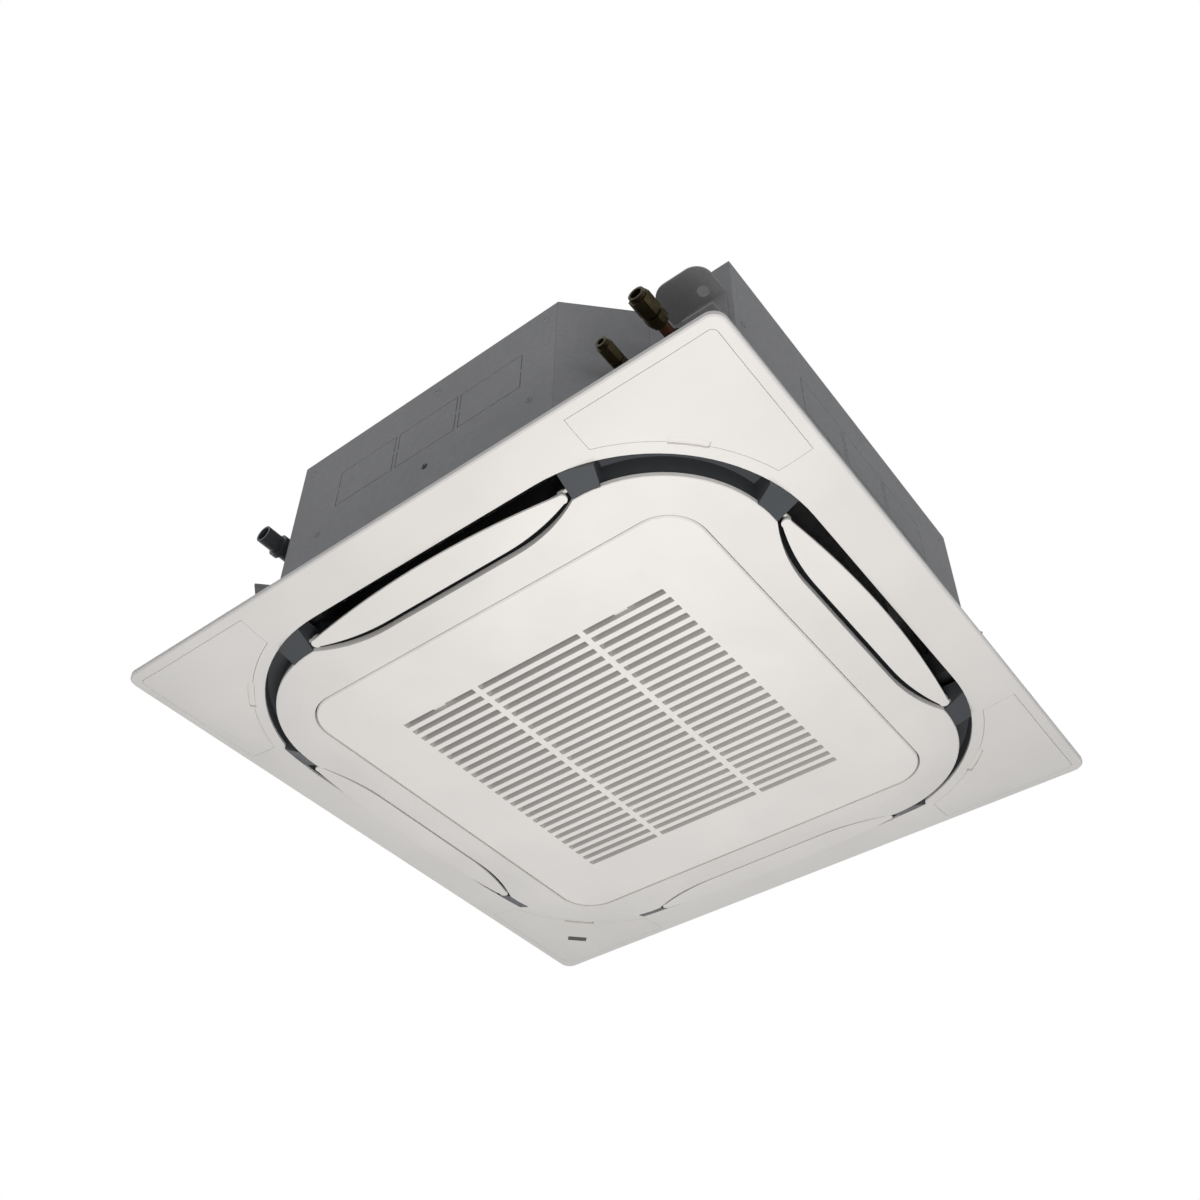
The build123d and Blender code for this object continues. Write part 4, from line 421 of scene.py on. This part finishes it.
# ------------------------------------------------------------------ pieces of the scene's own
SCREW_SIDES = 24
PAN_HEAD = ((1.0, 0.0), (1.0, 0.28), (0.93, 0.62), (0.74, 0.9), (0.55, 1.0))  # shares of radius and height
RECESS_HALF = 0.11            # half the width of the cross's arms, at the top, as a share of the radius
RECESS_REACH = 0.46           # reach of the arms, at the top
RECESS_FLOOR_HALF = 0.08      # the same two at the recess's floor
RECESS_FLOOR_REACH = 0.38
RECESS_FLOOR = 0.35           # height of that floor, as a share of the head's height
BLACK_SCREW_X = -0.004        # the screw of the -Y wall that the photograph shows dark
BLACK_SCREW_Z = 0.185
SCREW_NEAR = 0.01
SAME_POINT = 0.000001
NET_PITCH = 0.0035
NET_THREAD = 0.0005
THREAD_LIFT = 0.6             # how far a layer of threads lies off the net's middle, in half threads
THREAD_FLAT = 0.8             # a thread's height as a share of its width


def finish_piece(name, shape, body, material):
    """Turn a bmesh into a piece that rides on a body."""
    mesh = bpy.data.meshes.new(name)
    bmesh.ops.recalc_face_normals(shape, faces=shape.faces)
    shape.to_mesh(mesh)
    shape.free()
    piece = bpy.data.objects.new(name, mesh)
    bpy.context.scene.collection.objects.link(piece)
    mesh.materials.append(material)
    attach(piece, body)
    return piece


def add_bar(shape, low, high):
    """A box between two corners."""
    made = bmesh.ops.create_cube(shape, size=1.0)["verts"]
    size = [b - a for a, b in zip(low, high)]
    middle = [(a + b) / 2 for a, b in zip(low, high)]
    bmesh.ops.scale(shape, vec=size, verts=made)
    bmesh.ops.translate(shape, vec=middle, verts=made)


def ring_loop(shape, points):
    """Vertices and edges of one closed loop."""
    verts = [shape.verts.new(point) for point in points]
    edges = [shape.edges.new((a, b)) for a, b in zip(verts, verts[1:] + verts[:1])]
    return verts, edges


def cross_outline(half_width, reach, height):
    """Outline of a cross recess."""
    w, r = half_width, reach
    corners = ((r, -w), (r, w), (w, w), (w, r), (-w, r), (-w, w),
               (-r, w), (-r, -w), (-w, -w), (-w, -r), (w, -r), (w, -w))
    return [Vector((x, y, height)) for x, y in corners]


def add_screw(shape, at, outward, radius, height):
    """Pan head with a cross recess: its foot sits at a point and its top faces outward."""
    turn = Vector((0, 0, 1)).rotation_difference(Vector(outward)).to_matrix().to_4x4()
    angles = [2 * math.pi * k / SCREW_SIDES for k in range(SCREW_SIDES)]
    loops = []
    start = len(shape.verts)
    for share, lift in PAN_HEAD:
        reach = radius * share
        ring = [Vector((reach * math.cos(a), reach * math.sin(a), height * lift)) for a in angles]
        loops.append(ring_loop(shape, ring))
    mouth = cross_outline(RECESS_HALF * radius, RECESS_REACH * radius, height)
    floor = cross_outline(RECESS_FLOOR_HALF * radius, RECESS_FLOOR_REACH * radius, RECESS_FLOOR * height)
    loops.append(ring_loop(shape, mouth))
    loops.append(ring_loop(shape, floor))
    for lower, upper in zip(loops, loops[1:]):
        bmesh.ops.bridge_loops(shape, edges=lower[1] + upper[1])
    shape.faces.new(loops[0][0])
    shape.faces.new(loops[-1][0])
    shape.verts.ensure_lookup_table()
    made = shape.verts[start:]
    bmesh.ops.transform(shape, matrix=Matrix.Translation(at) @ turn, verts=made)


def loose_boxes(node):
    """Centre, lowest and highest corner of each loose solid of a node."""
    shape = bmesh.new()
    shape.from_mesh(frame["nodes"][node].data)
    bmesh.ops.remove_doubles(shape, verts=shape.verts, dist=SAME_POINT)
    left = set(shape.verts)
    found = []
    while left:
        stack = [left.pop()]
        group = []
        while stack:
            vert = stack.pop()
            group.append(vert.co.copy())
            for edge in vert.link_edges:
                other = edge.other_vert(vert)
                if other in left:
                    left.discard(other)
                    stack.append(other)
        low = Vector([min(v[k] for v in group) for k in range(3)])
        high = Vector([max(v[k] for v in group) for k in range(3)])
        found.append(((low + high) / 2, low, high))
    shape.free()
    return found


def make_casing_screws(materials):
    """Pan-head screws of the casing in place of their plain heads; one of the -Y wall is blackened."""
    heads = bmesh.new()
    dark = bmesh.new()
    for middle, low, high in loose_boxes("casing_screws"):
        size = high - low
        flat = min(range(3), key=lambda k: size[k])
        outward = Vector((0, -1, 0)) if flat == 1 else Vector((1, 0, 0))
        foot = middle - outward * size[flat] / 2
        near_x = abs(middle.x - BLACK_SCREW_X) < SCREW_NEAR
        near_z = abs(middle.z - BLACK_SCREW_Z) < SCREW_NEAR
        marked = flat == 1 and near_x and near_z
        add_screw(dark if marked else heads, foot, outward, max(size) / 2, size[flat])
    pieces = [
        finish_piece("casing_screw_heads", heads, "unit", materials["casing_steel"]),
        finish_piece("blackened_screw", dark, "unit", materials["sensor_black"]),
    ]
    for piece in pieces:
        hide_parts("casing_screws")


def make_filter_net(materials):
    """Net of the air filter: two layers of threads that cross and bite into each other."""
    low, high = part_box("filter_net")
    middle_z = (low[2] + high[2]) / 2
    shape = bmesh.new()
    half = NET_THREAD / 2
    for axis in (0, 1):
        across = 1 - axis
        count = int((high[across] - low[across]) / NET_PITCH)
        for k in range(1, count):
            at = low[across] + k * NET_PITCH
            lift = middle_z + (half if axis else -half) * THREAD_LIFT
            start = [0.0, 0.0, lift - half * THREAD_FLAT]
            stop = [0.0, 0.0, lift + half * THREAD_FLAT]
            start[axis], stop[axis] = low[axis], high[axis]
            start[across], stop[across] = at - half, at + half
            add_bar(shape, start, stop)
    net = finish_piece("filter_threads", shape, "grille", materials["filter_mesh"])
    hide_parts("filter_net")


# ------------------------------------------------------------------ putting it together
make_camera()
make_world()
make_floor()
make_lights()
materials = slot_materials()
dress_nodes(materials)
make_casing_screws(materials)
make_filter_net(materials)

scene = bpy.context.scene
scene.view_settings.view_transform = "Standard"
